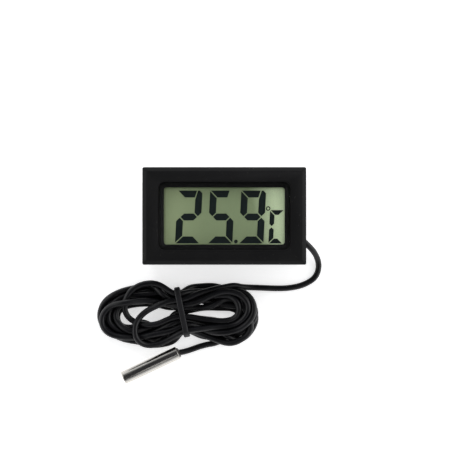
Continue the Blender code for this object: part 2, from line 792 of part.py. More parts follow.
def outlet_point(distance):
    """A place on the outlet's axis, measured from the cable's end outside the wall, inwards if negative."""
    start = OUTLET_MIDDLE + OUTLET_DIRECTION * (WALL / 2 + OUTLET_REACH) / OUTLET_DIRECTION.x
    return start + OUTLET_DIRECTION * distance


def inner_cable(jacket, crimp, red, black):
    inner_end = outlet_point(-INNER_LENGTH)
    tube("cable_inner_end", [inner_end, outlet_point(-INNER_LENGTH / 2), outlet_point(0)], CABLE_RADIUS, jacket)
    profile = [
        (COLLAR_RADIUS, COLLAR_LENGTH / 2),
        (COLLAR_RADIUS, -COLLAR_LENGTH / 2),
        (CABLE_RADIUS + GAP, -COLLAR_LENGTH / 2),
        (CABLE_RADIUS + GAP, COLLAR_LENGTH / 2),
    ]
    collar = turned("cable_stop_collar", profile, crimp, SMALL_ROUND_STEPS)
    collar.rotation_mode = "QUATERNION"
    collar.rotation_quaternion = OUTLET_DIRECTION.to_track_quat("Z", "Y")
    collar.location = outlet_point(-COLLAR_INSET)
    for name, side, material in (("sensor_wire_1", -1, red), ("sensor_wire_2", 1, black)):
        sideways = Vector((0, 0, 1)).cross(OUTLET_DIRECTION) * side * WIRE_SPREAD
        start = inner_end - OUTLET_DIRECTION * GAP + sideways / 2
        above = Vector((start.x, start.y, BOARD_Z - GAP))
        end = above - OUTLET_DIRECTION * WIRE_RUN * BAY_WIDTH + sideways
        bend = Vector((end.x, end.y, start.z)) + Vector((0, 0, WIRE_RADIUS))
        route = smooth_route([start, (start + bend) / 2, (bend + end) / 2, end], WIRE_RADIUS * 3)
        tube(name, route, WIRE_RADIUS, material)


def free_cable(jacket):
    lead = [outlet_point(GAP), *map(Vector, LEAD_ROUTE)]
    tube("cable_lead", smooth_route(lead, ROUTE_SPACING), CABLE_RADIUS, jacket)
    tail = [Vector(point) for point in TAIL_ROUTE]
    tube("cable_tail", smooth_route(tail, ROUTE_SPACING), CABLE_RADIUS, jacket)


def closed_curve(points, steps):
    """A smooth closed outline through the points, with this many places to each."""
    count = len(points)
    outline = []
    for i in range(count):
        before, start, end, after = (Vector(points[(i + k) % count]) for k in (-1, 0, 1, 2))
        for step in range(steps):
            t = step / steps
            a = 2 * start
            b = (end - before) * t
            c = (2 * before - 5 * start + 4 * end - after) * t**2
            d = (3 * start - before - 3 * end + after) * t**3
            outline.append(0.5 * (a + b + c + d))
    return outline


def tie_frame():
    """The tie's plane: local X runs along the band's long way, local Y up, local Z along the hank."""
    along = Vector((math.sin(math.radians(TIE_LEAN_DEG)), -math.cos(math.radians(TIE_LEAN_DEG)), 0))
    up = Vector((0, 0, 1))
    frame = Matrix.Identity(4)
    frame.col[0].xyz = along
    frame.col[1].xyz = up
    frame.col[2].xyz = along.cross(up)
    frame.translation = (*TIE_CENTRE, TIE_HEIGHT / 2)
    return frame


def hank_and_tie(jacket, band):
    """The hank is one solid of the folded turns' outer shape, with a neck where the band goes round it."""
    outline = closed_curve(HANK_OUTLINE, OUTLINE_STEPS)
    hank = flat_outline("cable_hank", [outline], HANK_HEIGHT, jacket)
    hank.location = (0, 0, HANK_HEIGHT / 2)
    hank = made_mesh(hank)

    neck_length = TIE_LENGTH - 2 * (TIE_THICKNESS + GAP)
    neck_height = TIE_HEIGHT - 2 * (TIE_THICKNESS + GAP)
    around = rounded_outline(2 * TIE_LENGTH, 4 * TIE_HEIGHT, TIE_CORNER)
    neck = rounded_outline(neck_length, neck_height, TIE_CORNER - TIE_THICKNESS)
    groove = flat_outline("tie_groove", [around, neck], TIE_WIDTH + 2 * GAP, jacket)
    groove.matrix_basis = tie_frame()
    cut(hank, made_mesh(groove))

    outside = rounded_outline(TIE_LENGTH, TIE_HEIGHT, TIE_CORNER)
    inside = rounded_outline(
        TIE_LENGTH - 2 * TIE_THICKNESS, TIE_HEIGHT - 2 * TIE_THICKNESS, TIE_CORNER - TIE_THICKNESS
    )
    tie = flat_outline("cable_tie", [outside, inside], TIE_WIDTH, band)
    tie.matrix_basis = tie_frame()


def probe(steel, resin, bead_material):
    """The probe lies on its side: its axis starts at the mouth, where the cable goes in."""
    bore = PROBE_RADIUS - PROBE_WALL
    tip_round = PROBE_TIP_ROUND
    sleeve_profile = [
        (PROBE_RADIUS, 0),
        (PROBE_RADIUS, -PROBE_LENGTH + tip_round),
        (PROBE_RADIUS - tip_round * 0.3, -PROBE_LENGTH + tip_round * 0.3),
        (PROBE_RADIUS - tip_round, -PROBE_LENGTH),
        (0, -PROBE_LENGTH),
        (0, -PROBE_LENGTH + PROBE_WALL),
        (bore, -PROBE_LENGTH + PROBE_WALL),
        (bore, 0),
    ]
    plug = bore - GAP
    plug_profile = [
        (0, -POTTING_RECESS),
        (plug, -POTTING_RECESS),
        (plug, -POTTING_RECESS - POTTING_LENGTH),
        (0, -POTTING_RECESS - POTTING_LENGTH),
    ]
    bead_top = -PROBE_LENGTH + PROBE_WALL + GAP + BEAD_LENGTH
    bead_profile = [
        (0, bead_top),
        (BEAD_RADIUS * 0.6, bead_top - BEAD_RADIUS * 0.3),
        (BEAD_RADIUS, bead_top - BEAD_RADIUS),
        (BEAD_RADIUS, bead_top - BEAD_LENGTH + BEAD_RADIUS),
        (BEAD_RADIUS * 0.6, bead_top - BEAD_LENGTH + BEAD_RADIUS * 0.3),
        (0, bead_top - BEAD_LENGTH),
    ]
    pieces = [
        ("probe_tube", sleeve_profile, steel),
        ("probe_resin_plug", plug_profile, resin),
        ("thermistor_bead", bead_profile, bead_material),
    ]
    lying = Matrix.Rotation(math.radians(-90), 4, "Y")
    place = Matrix.Translation((*PROBE_MOUTH, PROBE_RADIUS)) @ PROBE_TURN @ lying
    for name, profile, material in pieces:
        turned(name, profile, material, SMALL_ROUND_STEPS + 4).matrix_basis = place


def build():
    black_plastic = new_material("black_plastic", (0.02, 0.02, 0.022), 0.5)
    cable_black = new_material("cable_black", (0.012, 0.012, 0.012), 0.4)
    steel = new_material("steel", (0.6, 0.59, 0.56), 0.2, 1.0)
    nickel = new_material("nickel", (0.65, 0.63, 0.58), 0.3, 1.0)
    rubber = new_material("rubber", (0.25, 0.25, 0.26), 0.7)
    board_green = new_material("board_green", (0.02, 0.2, 0.06), 0.45)
    glass = new_material("glass", (0.75, 0.8, 0.75), 0.05)
    film = new_material("film", (0.3, 0.34, 0.26), 0.3)
    resin = new_material("resin", (0.03, 0.03, 0.03), 0.35)
    ceramic = new_material("ceramic", (0.35, 0.28, 0.2), 0.5)
    red_wire = new_material("red_wire", (0.5, 0.03, 0.02), 0.4)

    front_housing(black_plastic)
    rear_cover(black_plastic)
    battery_door(black_plastic)
    panel_clip("left_panel_clip", -1, black_plastic)
    panel_clip("right_panel_clip", 1, black_plastic)
    display(glass, film, glass, film, rubber)
    circuit_board(board_green)
    board_screws(steel)
    board_parts(resin, ceramic, nickel)
    battery_contacts(nickel)
    button_cells(steel)
    inner_cable(cable_black, nickel, red_wire, cable_black)
    free_cable(cable_black)
    hank_and_tie(cable_black, rubber)
    probe(steel, resin, glass)


build()
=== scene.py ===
import math

import bpy
import bmesh
import numpy as np
from mathutils import Matrix, Vector


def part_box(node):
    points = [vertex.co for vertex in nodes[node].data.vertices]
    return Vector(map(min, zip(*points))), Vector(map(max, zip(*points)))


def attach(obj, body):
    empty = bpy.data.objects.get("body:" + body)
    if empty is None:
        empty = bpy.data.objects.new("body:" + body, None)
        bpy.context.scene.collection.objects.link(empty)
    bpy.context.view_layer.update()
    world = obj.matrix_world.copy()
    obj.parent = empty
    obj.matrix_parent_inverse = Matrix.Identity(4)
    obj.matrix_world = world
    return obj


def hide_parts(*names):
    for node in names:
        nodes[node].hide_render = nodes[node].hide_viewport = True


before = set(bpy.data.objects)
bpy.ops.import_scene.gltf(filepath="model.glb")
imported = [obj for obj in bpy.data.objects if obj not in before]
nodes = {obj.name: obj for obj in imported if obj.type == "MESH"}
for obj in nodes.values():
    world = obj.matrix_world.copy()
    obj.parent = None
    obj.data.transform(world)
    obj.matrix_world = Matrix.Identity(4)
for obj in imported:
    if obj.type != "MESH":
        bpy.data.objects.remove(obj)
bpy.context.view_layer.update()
mm = 0.001

# camera

cameraSizes = {
    "place": (0.94 * mm, -3.39 * mm, 415.0 * mm),
    "lens": 108.3,
    "sensor": 36.0,
}


def addCamera():
    data = bpy.data.cameras.new("stillCamera")
    data.lens = cameraSizes["lens"]
    data.sensor_width = cameraSizes["sensor"]
    data.clip_start = 0.01
    camera = bpy.data.objects.new("stillCamera", data)
    camera.location = cameraSizes["place"]
    bpy.context.scene.collection.objects.link(camera)
    bpy.context.scene.camera = camera
    print("camera placed")


# small helpers


def clearSelection():
    if bpy.context.mode != "OBJECT":
        bpy.ops.object.mode_set(mode="OBJECT")
    bpy.ops.object.select_all(action="DESELECT")


def makeActive(piece):
    clearSelection()
    piece.select_set(True)
    bpy.context.view_layer.objects.active = piece


def fixPlace(piece):
    # put the place into the mesh, so the object itself sits at the origin
    piece.data.transform(piece.matrix_world)
    piece.matrix_world = Matrix.Identity(4)


def namePiece(name):
    piece = bpy.context.object
    piece.name = name
    piece.data.name = name
    return piece


def applyAll(piece):
    makeActive(piece)
    for modifier in list(piece.modifiers):
        bpy.ops.object.modifier_apply(modifier=modifier.name)


def selectFaces(piece, test):
    # selects the faces whose middle and normal pass the test, in edit mode afterwards
    bpy.ops.object.mode_set(mode="EDIT")
    bpy.ops.mesh.select_mode(type="FACE")
    bpy.ops.mesh.select_all(action="DESELECT")
    bpy.ops.object.mode_set(mode="OBJECT")
    for face in piece.data.polygons:
        face.select = bool(test(face.center, face.normal))
    bpy.ops.object.mode_set(mode="EDIT")


def selectEdges(piece, test):
    # selects the edges whose two ends pass the test
    bpy.ops.object.mode_set(mode="EDIT")
    bpy.ops.mesh.select_mode(type="EDGE")
    bpy.ops.mesh.select_all(action="DESELECT")
    bpy.ops.object.mode_set(mode="OBJECT")
    for edge in piece.data.edges:
        a, b = (piece.data.vertices[i].co for i in edge.vertices)
        edge.select = bool(test(a, b))
    bpy.ops.object.mode_set(mode="EDIT")


def dress(piece, material, body="housing"):
    piece.data.materials.clear()
    piece.data.materials.append(material)
    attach(piece, body)
    return piece


# shader groups


def newGroup(name, inputs, outputs):
    group = bpy.data.node_groups.new(name, "ShaderNodeTree")
    for socketName, kind, value in inputs:
        socket = group.interface.new_socket(name=socketName, in_out="INPUT", socket_type=kind)
        if value is not None:
            socket.default_value = value
    for socketName, kind in outputs:
        group.interface.new_socket(name=socketName, in_out="OUTPUT", socket_type=kind)
    start = group.nodes.new("NodeGroupInput")
    end = group.nodes.new("NodeGroupOutput")
    return group, start, end


def addNode(tree, kind, **settings):
    node = tree.nodes.new(kind)
    for key, value in settings.items():
        setattr(node, key, value)
    return node


def wire(tree, source, target):
    tree.links.new(source, target)


def mathNode(tree, operation, first, second, clamp=False):
    node = addNode(tree, "ShaderNodeMath", operation=operation, use_clamp=clamp)
    for index, value in enumerate((first, second)):
        if isinstance(value, (int, float)):
            node.inputs[index].default_value = value
        else:
            wire(tree, value, node.inputs[index])
    return node.outputs[0]


def rangeNode(tree, value, low, high, toLow, toHigh):
    node = addNode(tree, "ShaderNodeMapRange")
    wire(tree, value, node.inputs["Value"])
    for name, number in (("From Min", low), ("From Max", high), ("To Min", toLow), ("To Max", toHigh)):
        if isinstance(number, (int, float)):
            node.inputs[name].default_value = number
        else:
            wire(tree, number, node.inputs[name])
    return node.outputs["Result"]


def noiseNode(tree, coords, scale, detail=3.0, roughness=0.55):
    node = addNode(tree, "ShaderNodeTexNoise")
    wire(tree, coords, node.inputs["Vector"])
    if isinstance(scale, (int, float)):
        node.inputs["Scale"].default_value = scale
    else:
        wire(tree, scale, node.inputs["Scale"])
    node.inputs["Detail"].default_value = detail
    node.inputs["Roughness"].default_value = roughness
    return node.outputs[0]


def buildGrainGroup():
    # moulded or drawn surfaces: a fine grain, broad soft tone changes, and a normal with both
    group, start, end = newGroup(
        "surfaceGrain",
        [
            ("Grain Scale", "NodeSocketFloat", 3500.0),
            ("Grain Depth", "NodeSocketFloat", 0.00001),
            ("Cloud Scale", "NodeSocketFloat", 90.0),
        ],
        [("Grain", "NodeSocketFloat"), ("Clouds", "NodeSocketFloat"), ("Normal", "NodeSocketVector")],
    )
    coords = addNode(group, "ShaderNodeTexCoord").outputs["Object"]
    grain = noiseNode(group, coords, start.outputs["Grain Scale"], 4.0, 0.6)
    clouds = noiseNode(group, coords, start.outputs["Cloud Scale"], 3.0, 0.5)
    bump = addNode(group, "ShaderNodeBump")
    bump.inputs["Strength"].default_value = 1.0
    height = mathNode(group, "MULTIPLY", grain, start.outputs["Grain Depth"])
    wire(group, height, bump.inputs["Height"])
    bump.inputs["Distance"].default_value = 1.0
    wire(group, grain, end.inputs["Grain"])
    wire(group, clouds, end.inputs["Clouds"])
    wire(group, bump.outputs["Normal"], end.inputs["Normal"])
    return group


def buildEdgeGroup():
    # rubbed edges, broken up by a noise so that no edge is evenly worn
    group, start, end = newGroup(
        "rubbedEdges",
        [("Break Scale", "NodeSocketFloat", 700.0)],
        [("Mask", "NodeSocketFloat")],
    )
    coords = addNode(group, "ShaderNodeTexCoord").outputs["Object"]
    edge = addNode(group, "ShaderNodeAttribute", attribute_name="rubbed").outputs["Fac"]
    broken = rangeNode(group, noiseNode(group, coords, start.outputs["Break Scale"]), 0.38, 0.62, 0.15, 1.0)
    wire(group, mathNode(group, "MULTIPLY", edge, broken, True), end.inputs["Mask"])
    return group


def buildDustGroup():
    # small pale specks that lie on faces that look upwards
    group, start, end = newGroup(
        "fineDust",
        [("Speck Scale", "NodeSocketFloat", 1500.0), ("Amount", "NodeSocketFloat", 0.5)],
        [("Mask", "NodeSocketFloat")],
    )
    coords = addNode(group, "ShaderNodeTexCoord").outputs["Object"]
    cells = addNode(group, "ShaderNodeTexVoronoi")
    wire(group, coords, cells.inputs["Vector"])
    wire(group, start.outputs["Speck Scale"], cells.inputs["Scale"])
    near = rangeNode(group, cells.outputs["Distance"], 0.06, 0.16, 1.0, 0.0)
    few = rangeNode(group, noiseNode(group, coords, 420.0, 2.0), 0.52, 0.62, 0.0, 1.0)
    normal = addNode(group, "ShaderNodeSeparateXYZ")
    wire(group, addNode(group, "ShaderNodeNewGeometry").outputs["Normal"], normal.inputs[0])
    upward = rangeNode(group, normal.outputs["Z"], 0.3, 0.9, 0.0, 1.0)
    mask = mathNode(group, "MULTIPLY", mathNode(group, "MULTIPLY", near, few), upward)
    wire(group, mathNode(group, "MULTIPLY", mask, start.outputs["Amount"], True), end.inputs["Mask"])
    return group


def buildStreakGroup():
    # fine lines along one direction, as a drawn tube or a rolled sheet has
    group, start, end = newGroup(
        "drawnStreaks",
        [
            ("Turn", "NodeSocketFloat", 0.0),
            ("Fineness", "NodeSocketFloat", 4000.0),
            ("Depth", "NodeSocketFloat", 0.000004),
        ],
        [("Streaks", "NodeSocketFloat"), ("Normal", "NodeSocketVector")],
    )
    coords = addNode(group, "ShaderNodeTexCoord").outputs["Object"]
    turn = addNode(group, "ShaderNodeVectorRotate", rotation_type="Z_AXIS")
    wire(group, coords, turn.inputs["Vector"])
    wire(group, start.outputs["Turn"], turn.inputs["Angle"])
    stretch = addNode(group, "ShaderNodeVectorMath", operation="MULTIPLY")
    wire(group, turn.outputs["Vector"], stretch.inputs[0])
    stretch.inputs[1].default_value = (0.03, 1.0, 1.0)
    lines = noiseNode(group, stretch.outputs[0], start.outputs["Fineness"], 3.0, 0.6)
    bump = addNode(group, "ShaderNodeBump")
    bump.inputs["Strength"].default_value = 1.0
    bump.inputs["Distance"].default_value = 1.0
    wire(group, mathNode(group, "MULTIPLY", lines, start.outputs["Depth"]), bump.inputs["Height"])
    wire(group, lines, end.inputs["Streaks"])
    wire(group, bump.outputs["Normal"], end.inputs["Normal"])
    return group


grainGroup = buildGrainGroup()
edgeGroup = buildEdgeGroup()
dustGroup = buildDustGroup()
streakGroup = buildStreakGroup()


def placeGroup(tree, group, **values):
    node = addNode(tree, "ShaderNodeGroup", node_tree=group)
    for name, value in values.items():
        node.inputs[name.replace("_", " ")].default_value = value
    return node


def mixColours(tree, mask, first, second):
    node = addNode(tree, "ShaderNodeMix", data_type="RGBA")
    for socket, value in ((node.inputs[6], first), (node.inputs[7], second)):
        if isinstance(value, tuple):
            socket.default_value = (*value, 1.0)
        else:
            wire(tree, value, socket)
    if isinstance(mask, (int, float)):
        node.inputs[0].default_value = mask
    else:
        wire(tree, mask, node.inputs[0])
    return node.outputs[2]


def finishSurface(tree, shader, colour, grain, smooth, rough):
    wire(tree, colour, shader.inputs["Base Color"])
    wire(tree, rangeNode(tree, grain.outputs["Grain"], 0.3, 0.7, smooth, rough), shader.inputs["Roughness"])
    wire(tree, grain.outputs["Normal"], shader.inputs["Normal"])


def objectAxes(tree):
    axes = addNode(tree, "ShaderNodeSeparateXYZ")
    wire(tree, addNode(tree, "ShaderNodeTexCoord").outputs["Object"], axes.inputs[0])
    return axes


def newMaterial(name):
    material = bpy.data.materials.new(name)
    material.use_nodes = True
    tree = material.node_tree
    return material, tree, tree.nodes["Principled BSDF"]


# materials


def mouldedPlastic(name, look):
    # black moulded plastic: grain, slow tone changes, rubbed edges, a little dust
    material, tree, shader = newMaterial(name)
    grain = placeGroup(tree, grainGroup, Grain_Scale=look["grainScale"], Grain_Depth=look["grainDepth"])
    edges = placeGroup(tree, edgeGroup)
    dust = placeGroup(tree, dustGroup, Amount=look["dust"])
    clouds = rangeNode(tree, grain.outputs["Clouds"], 0.35, 0.65, 0.0, 1.0)
    clouded = mixColours(tree, clouds, look["dark"], look["light"])
    flecks = rangeNode(tree, grain.outputs["Grain"], 0.6, 0.75, 0.0, 0.5)
    flecked = mixColours(tree, flecks, clouded, look["fleck"])
    worn = mixColours(tree, mathNode(tree, "MULTIPLY", edges.outputs[0], 0.6), flecked, look["worn"])
    dusty = mixColours(tree, dust.outputs[0], worn, (0.32, 0.31, 0.29))
    wire(tree, dusty, shader.inputs["Base Color"])
    rough = rangeNode(tree, grain.outputs["Clouds"], 0.3, 0.7, look["smooth"], look["rough"])
    rough = mathNode(tree, "ADD", rough, mathNode(tree, "MULTIPLY", grain.outputs["Grain"], 0.08))
    wire(tree, rough, shader.inputs["Roughness"])
    shader.inputs["Specular IOR Level"].default_value = look["specular"]
    wire(tree, grain.outputs["Normal"], shader.inputs["Normal"])
    return material


def metalFinish(name, look):
    # plated or polished metal: streaks in roughness and normal, faint tarnish
    material, tree, shader = newMaterial(name)
    streaks = placeGroup(tree, streakGroup, Turn=look["turn"], Fineness=look["fineness"], Depth=look["depth"])
    grain = placeGroup(tree, grainGroup, Cloud_Scale=look["cloudScale"], Grain_Depth=0.0)
    tarnish = rangeNode(tree, grain.outputs["Clouds"], 0.45, 0.75, 0.0, look["tarnish"])
    wire(tree, mixColours(tree, tarnish, look["colour"], look["tarnishColour"]), shader.inputs["Base Color"])
    rough = rangeNode(tree, streaks.outputs["Streaks"], 0.3, 0.7, look["smooth"], look["rough"])
    rough = mathNode(tree, "ADD", rough, mathNode(tree, "MULTIPLY", tarnish, 0.2))
    wire(tree, rough, shader.inputs["Roughness"])
    shader.inputs["Metallic"].default_value = 1.0
    wire(tree, streaks.outputs["Normal"], shader.inputs["Normal"])
    return material


def mouldedLook(**changes):
    look = {
        "dark": (0.0066, 0.0066, 0.0070),
        "light": (0.0082, 0.0082, 0.0086),
        "fleck": (0.024, 0.024, 0.023),
        "worn": (0.030, 0.030, 0.031),
        "grainScale": 3600.0,
        "grainDepth": 0.000030,
        "smooth": 0.47,
        "rough": 0.50,
        "specular": 0.13,
        "dust": 0.22,
    }
    look.update(changes)
    return look


def metalLook(**changes):
    look = {
        "colour": (0.62, 0.60, 0.56),
        "tarnishColour": (0.42, 0.38, 0.31),
        "turn": 0.0,
        "fineness": 5000.0,
        "depth": 0.0000005,
        "cloudScale": 240.0,
        "tarnish": 0.4,
        "smooth": 0.10,
        "rough": 0.22,
    }
    look.update(changes)
    return look


def clearWindow():
    # thin clear cover: faint, glossy, with a trace of dust and hairlines
    material, tree, shader = newMaterial("clearCover")
    dust = placeGroup(tree, dustGroup, Speck_Scale=1200.0, Amount=0.35)
    grain = placeGroup(tree, grainGroup, Grain_Scale=900.0, Grain_Depth=0.000001, Cloud_Scale=60.0)
    cover = mixColours(tree, dust.outputs[0], (0.030, 0.034, 0.028), (0.5, 0.5, 0.48))
    wire(tree, cover, shader.inputs["Base Color"])
    wire(tree, rangeNode(tree, grain.outputs["Clouds"], 0.3, 0.7, 0.03, 0.09), shader.inputs["Roughness"])
    slanting = addNode(tree, "ShaderNodeLayerWeight")
    slanting.inputs["Blend"].default_value = 0.08
    gloss = mathNode(tree, "MULTIPLY_ADD", slanting.outputs["Fresnel"], 0.6)
    gloss.node.inputs[2].default_value = 0.02
    alpha = mathNode(tree, "ADD", mathNode(tree, "MULTIPLY", dust.outputs[0], 0.25), gloss, True)
    wire(tree, alpha, shader.inputs["Alpha"])
    wire(tree, grain.outputs["Normal"], shader.inputs["Normal"])
    return material


def displayFilm():
    # the reflective display's grey green, with light and shade painted in: painted light makes its left part
    # lighter, a painted reflection lightens it towards the upper right, and a painted shadow darkens its left
    # edge
    material, tree, shader = newMaterial("displayFilm")
    axes = objectAxes(tree)
    grain = placeGroup(tree, grainGroup, Grain_Scale=2600.0, Grain_Depth=0.000003, Cloud_Scale=120.0)
    slope = mathNode(tree, "ADD", axes.outputs["X"], mathNode(tree, "MULTIPLY", axes.outputs["Y"], 0.15))
    shift = mathNode(tree, "MULTIPLY", mathNode(tree, "SUBTRACT", grain.outputs["Clouds"], 0.5), 0.003)
    # painted light: the film's left part is given a lighter colour that stands in for the light falling there
    paintedLightLeft = rangeNode(tree, axes.outputs["X"], -0.014, -0.006, 0.0, 1.0)
    film = mixColours(tree, paintedLightLeft, (0.345, 0.425, 0.236), (0.272, 0.345, 0.190))
    # painted reflection: the film turns much lighter towards the upper right, a reflection painted into its
    # colour
    across = rangeNode(tree, mathNode(tree, "ADD", slope, shift), 0.0085, 0.0155, 0.0, 1.0)
    film = mixColours(tree, across, film, (0.76, 0.92, 0.585))
    # painted shadow: a dark band along the film's left edge, the ledge's shade painted into its colour
    edge = rangeNode(tree, axes.outputs["X"], -0.0179, -0.0170, 0.50, 0.0)
    film = mixColours(tree, edge, film, (0.050, 0.050, 0.028))
    fine = rangeNode(tree, grain.outputs["Grain"], 0.35, 0.65, 0.0, 0.12)
    finishSurface(tree, shader, mixColours(tree, fine, film, (0.12, 0.15, 0.09)), grain, 0.38, 0.5)
    shader.inputs["Specular IOR Level"].default_value = 0.3
    return material


def displayInk():
    # switched-on segments: dark blue green, not quite even
    material, tree, shader = newMaterial("segmentInk")
    grain = placeGroup(tree, grainGroup, Grain_Scale=2200.0, Grain_Depth=0.0, Cloud_Scale=300.0)
    tone = rangeNode(tree, grain.outputs["Clouds"], 0.3, 0.7, 0.0, 1.0)
    ink = mixColours(tree, tone, (0.0060, 0.0110, 0.0110), (0.0085, 0.0150, 0.0150))
    wire(tree, ink, shader.inputs["Base Color"])
    wire(tree, rangeNode(tree, grain.outputs["Grain"], 0.3, 0.7, 0.40, 0.52), shader.inputs["Roughness"])
    shader.inputs["Specular IOR Level"].default_value = 0.25
    return material


def displayGlass():
    material, tree, shader = newMaterial("displayGlass")
    grain = placeGroup(tree, grainGroup, Grain_Scale=1200.0, Grain_Depth=0.0, Cloud_Scale=150.0)
    tone = rangeNode(tree, grain.outputs["Clouds"], 0.3, 0.7, 0.0, 1.0)
    wire(tree, mixColours(tree, tone, (0.42, 0.50, 0.46), (0.50, 0.58, 0.54)), shader.inputs["Base Color"])
    wire(tree, rangeNode(tree, grain.outputs["Grain"], 0.3, 0.7, 0.04, 0.10), shader.inputs["Roughness"])
    wire(tree, rangeNode(tree, grain.outputs["Clouds"], 0.3, 0.7, 0.34, 0.42), shader.inputs["Alpha"])
    return material


def cableJacket():
    # extruded black jacket: satin, with slow tone changes and a little dust
    material, tree, shader = newMaterial("cableJacket")
    grain = placeGroup(tree, grainGroup, Grain_Scale=3000.0, Grain_Depth=0.000012, Cloud_Scale=160.0)
    dust = placeGroup(tree, dustGroup, Speck_Scale=1700.0, Amount=0.16)
    tone = rangeNode(tree, grain.outputs["Clouds"], 0.35, 0.65, 0.0, 1.0)
    jacket = mixColours(tree, tone, (0.0022, 0.0022, 0.0030), (0.0045, 0.0045, 0.0058))
    wire(tree, mixColours(tree, dust.outputs[0], jacket, (0.22, 0.21, 0.20)), shader.inputs["Base Color"])
    rough = rangeNode(tree, grain.outputs["Clouds"], 0.3, 0.7, 0.30, 0.40)
    rough = mathNode(tree, "ADD", rough, mathNode(tree, "MULTIPLY", grain.outputs["Grain"], 0.06))
    wire(tree, rough, shader.inputs["Roughness"])
    shader.inputs["Specular IOR Level"].default_value = 0.38
    wire(tree, grain.outputs["Normal"], shader.inputs["Normal"])
    return material


def tieRubber():
    material, tree, shader = newMaterial("tieBand")
    grain = placeGroup(tree, grainGroup, Grain_Scale=4200.0, Grain_Depth=0.000020, Cloud_Scale=420.0)
    edges = placeGroup(tree, edgeGroup)
    tone = rangeNode(tree, grain.outputs["Clouds"], 0.35, 0.65, 0.0, 1.0)
    band = mixColours(tree, tone, (0.005, 0.005, 0.006), (0.010, 0.010, 0.012))
    band = mixColours(tree, mathNode(tree, "MULTIPLY", edges.outputs[0], 0.5), band, (0.03, 0.03, 0.033))
    finishSurface(tree, shader, band, grain, 0.40, 0.55)
    return material


def pottingResin():
    material, tree, shader = newMaterial("pottingResin")
    grain = placeGroup(tree, grainGroup, Grain_Scale=1500.0, Grain_Depth=0.00004, Cloud_Scale=600.0)
    tone = rangeNode(tree, grain.outputs["Clouds"], 0.35, 0.65, 0.0, 1.0)
    resin = mixColours(tree, tone, (0.010, 0.009, 0.008), (0.024, 0.020, 0.016))
    finishSurface(tree, shader, resin, grain, 0.12, 0.3)
    return material


def boardLaminate():
    # green board with straight buried tracks
    material, tree, shader = newMaterial("boardLaminate")
    coords = addNode(tree, "ShaderNodeTexCoord").outputs["Object"]
    grain = placeGroup(tree, grainGroup, Grain_Scale=2600.0, Grain_Depth=0.000004, Cloud_Scale=200.0)
    bricks = addNode(tree, "ShaderNodeTexBrick")
    wire(tree, coords, bricks.inputs["Vector"])
    bricks.inputs["Scale"].default_value = 160.0
    bricks.inputs["Mortar Size"].default_value = 0.035
    bricks.inputs["Brick Width"].default_value = 1.3
    bricks.inputs["Row Height"].default_value = 0.32
    bricks.inputs["Color1"].default_value = (0.006, 0.075, 0.022, 1.0)
    bricks.inputs["Color2"].default_value = (0.008, 0.090, 0.028, 1.0)
    bricks.inputs["Mortar"].default_value = (0.020, 0.145, 0.050, 1.0)
    tone = rangeNode(tree, grain.outputs["Clouds"], 0.35, 0.65, 0.0, 0.35)
    board = mixColours(tree, tone, bricks.outputs["Color"], (0.012, 0.11, 0.035))
    finishSurface(tree, shader, board, grain, 0.25, 0.38)
    return material


def paleCeramic():
    material, tree, shader = newMaterial("chipCeramic")
    axes = objectAxes(tree)
    grain = placeGroup(tree, grainGroup, Grain_Scale=5000.0, Grain_Depth=0.000008, Cloud_Scale=900.0)
    low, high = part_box("chip_resistor_1")
    middle = (low.x + high.x) / 2
    away = mathNode(tree, "ABSOLUTE", mathNode(tree, "SUBTRACT", axes.outputs["X"], middle), 0.0)
    ends = rangeNode(tree, away, 0.00062, 0.00068, 0.0, 1.0)
    tone = rangeNode(tree, grain.outputs["Clouds"], 0.3, 0.7, 0.0, 1.0)
    body = mixColours(tree, tone, (0.16, 0.11, 0.07), (0.24, 0.17, 0.11))
    wire(tree, mixColours(tree, ends, body, (0.55, 0.54, 0.52)), shader.inputs["Base Color"])
    wire(tree, ends, shader.inputs["Metallic"])
    wire(tree, rangeNode(tree, grain.outputs["Grain"], 0.3, 0.7, 0.35, 0.5), shader.inputs["Roughness"])
    return material


def contactRubber():
    # elastomer connector: dark and pale layers that alternate along its length
    material, tree, shader = newMaterial("contactRubber")
    coords = addNode(tree, "ShaderNodeTexCoord").outputs["Object"]
    stripes = addNode(tree, "ShaderNodeTexWave", wave_type="BANDS", bands_direction="X")
    wire(tree, coords, stripes.inputs["Vector"])
    stripes.inputs["Scale"].default_value = 900.0
    stripes.inputs["Distortion"].default_value = 0.3
    grain = placeGroup(tree, grainGroup, Grain_Scale=4000.0, Grain_Depth=0.00001)
    layers = mixColours(tree, stripes.outputs["Fac"], (0.03, 0.03, 0.03), (0.28, 0.27, 0.27))
    finishSurface(tree, shader, layers, grain, 0.55, 0.75)
    return material


def wireInsulation(name, dark, light):
    material, tree, shader = newMaterial(name)
    grain = placeGroup(tree, grainGroup, Grain_Scale=5200.0, Grain_Depth=0.000006, Cloud_Scale=500.0)
    tone = rangeNode(tree, grain.outputs["Clouds"], 0.35, 0.65, 0.0, 1.0)
    finishSurface(tree, shader, mixColours(tree, tone, dark, light), grain, 0.3, 0.42)
    return material


probeTurn = math.radians(205.05)  # the way the probe lies, which its drawn lines follow

steelLook = metalLook(
    turn=-probeTurn, smooth=0.18, rough=0.24, tarnish=0.08, fineness=3000.0, cloudScale=120.0
)
cellLook = metalLook(colour=(0.58, 0.58, 0.57), smooth=0.16, rough=0.3, cloudScale=400.0)
screwLook = metalLook(colour=(0.50, 0.50, 0.49), smooth=0.22, rough=0.36, cloudScale=900.0)

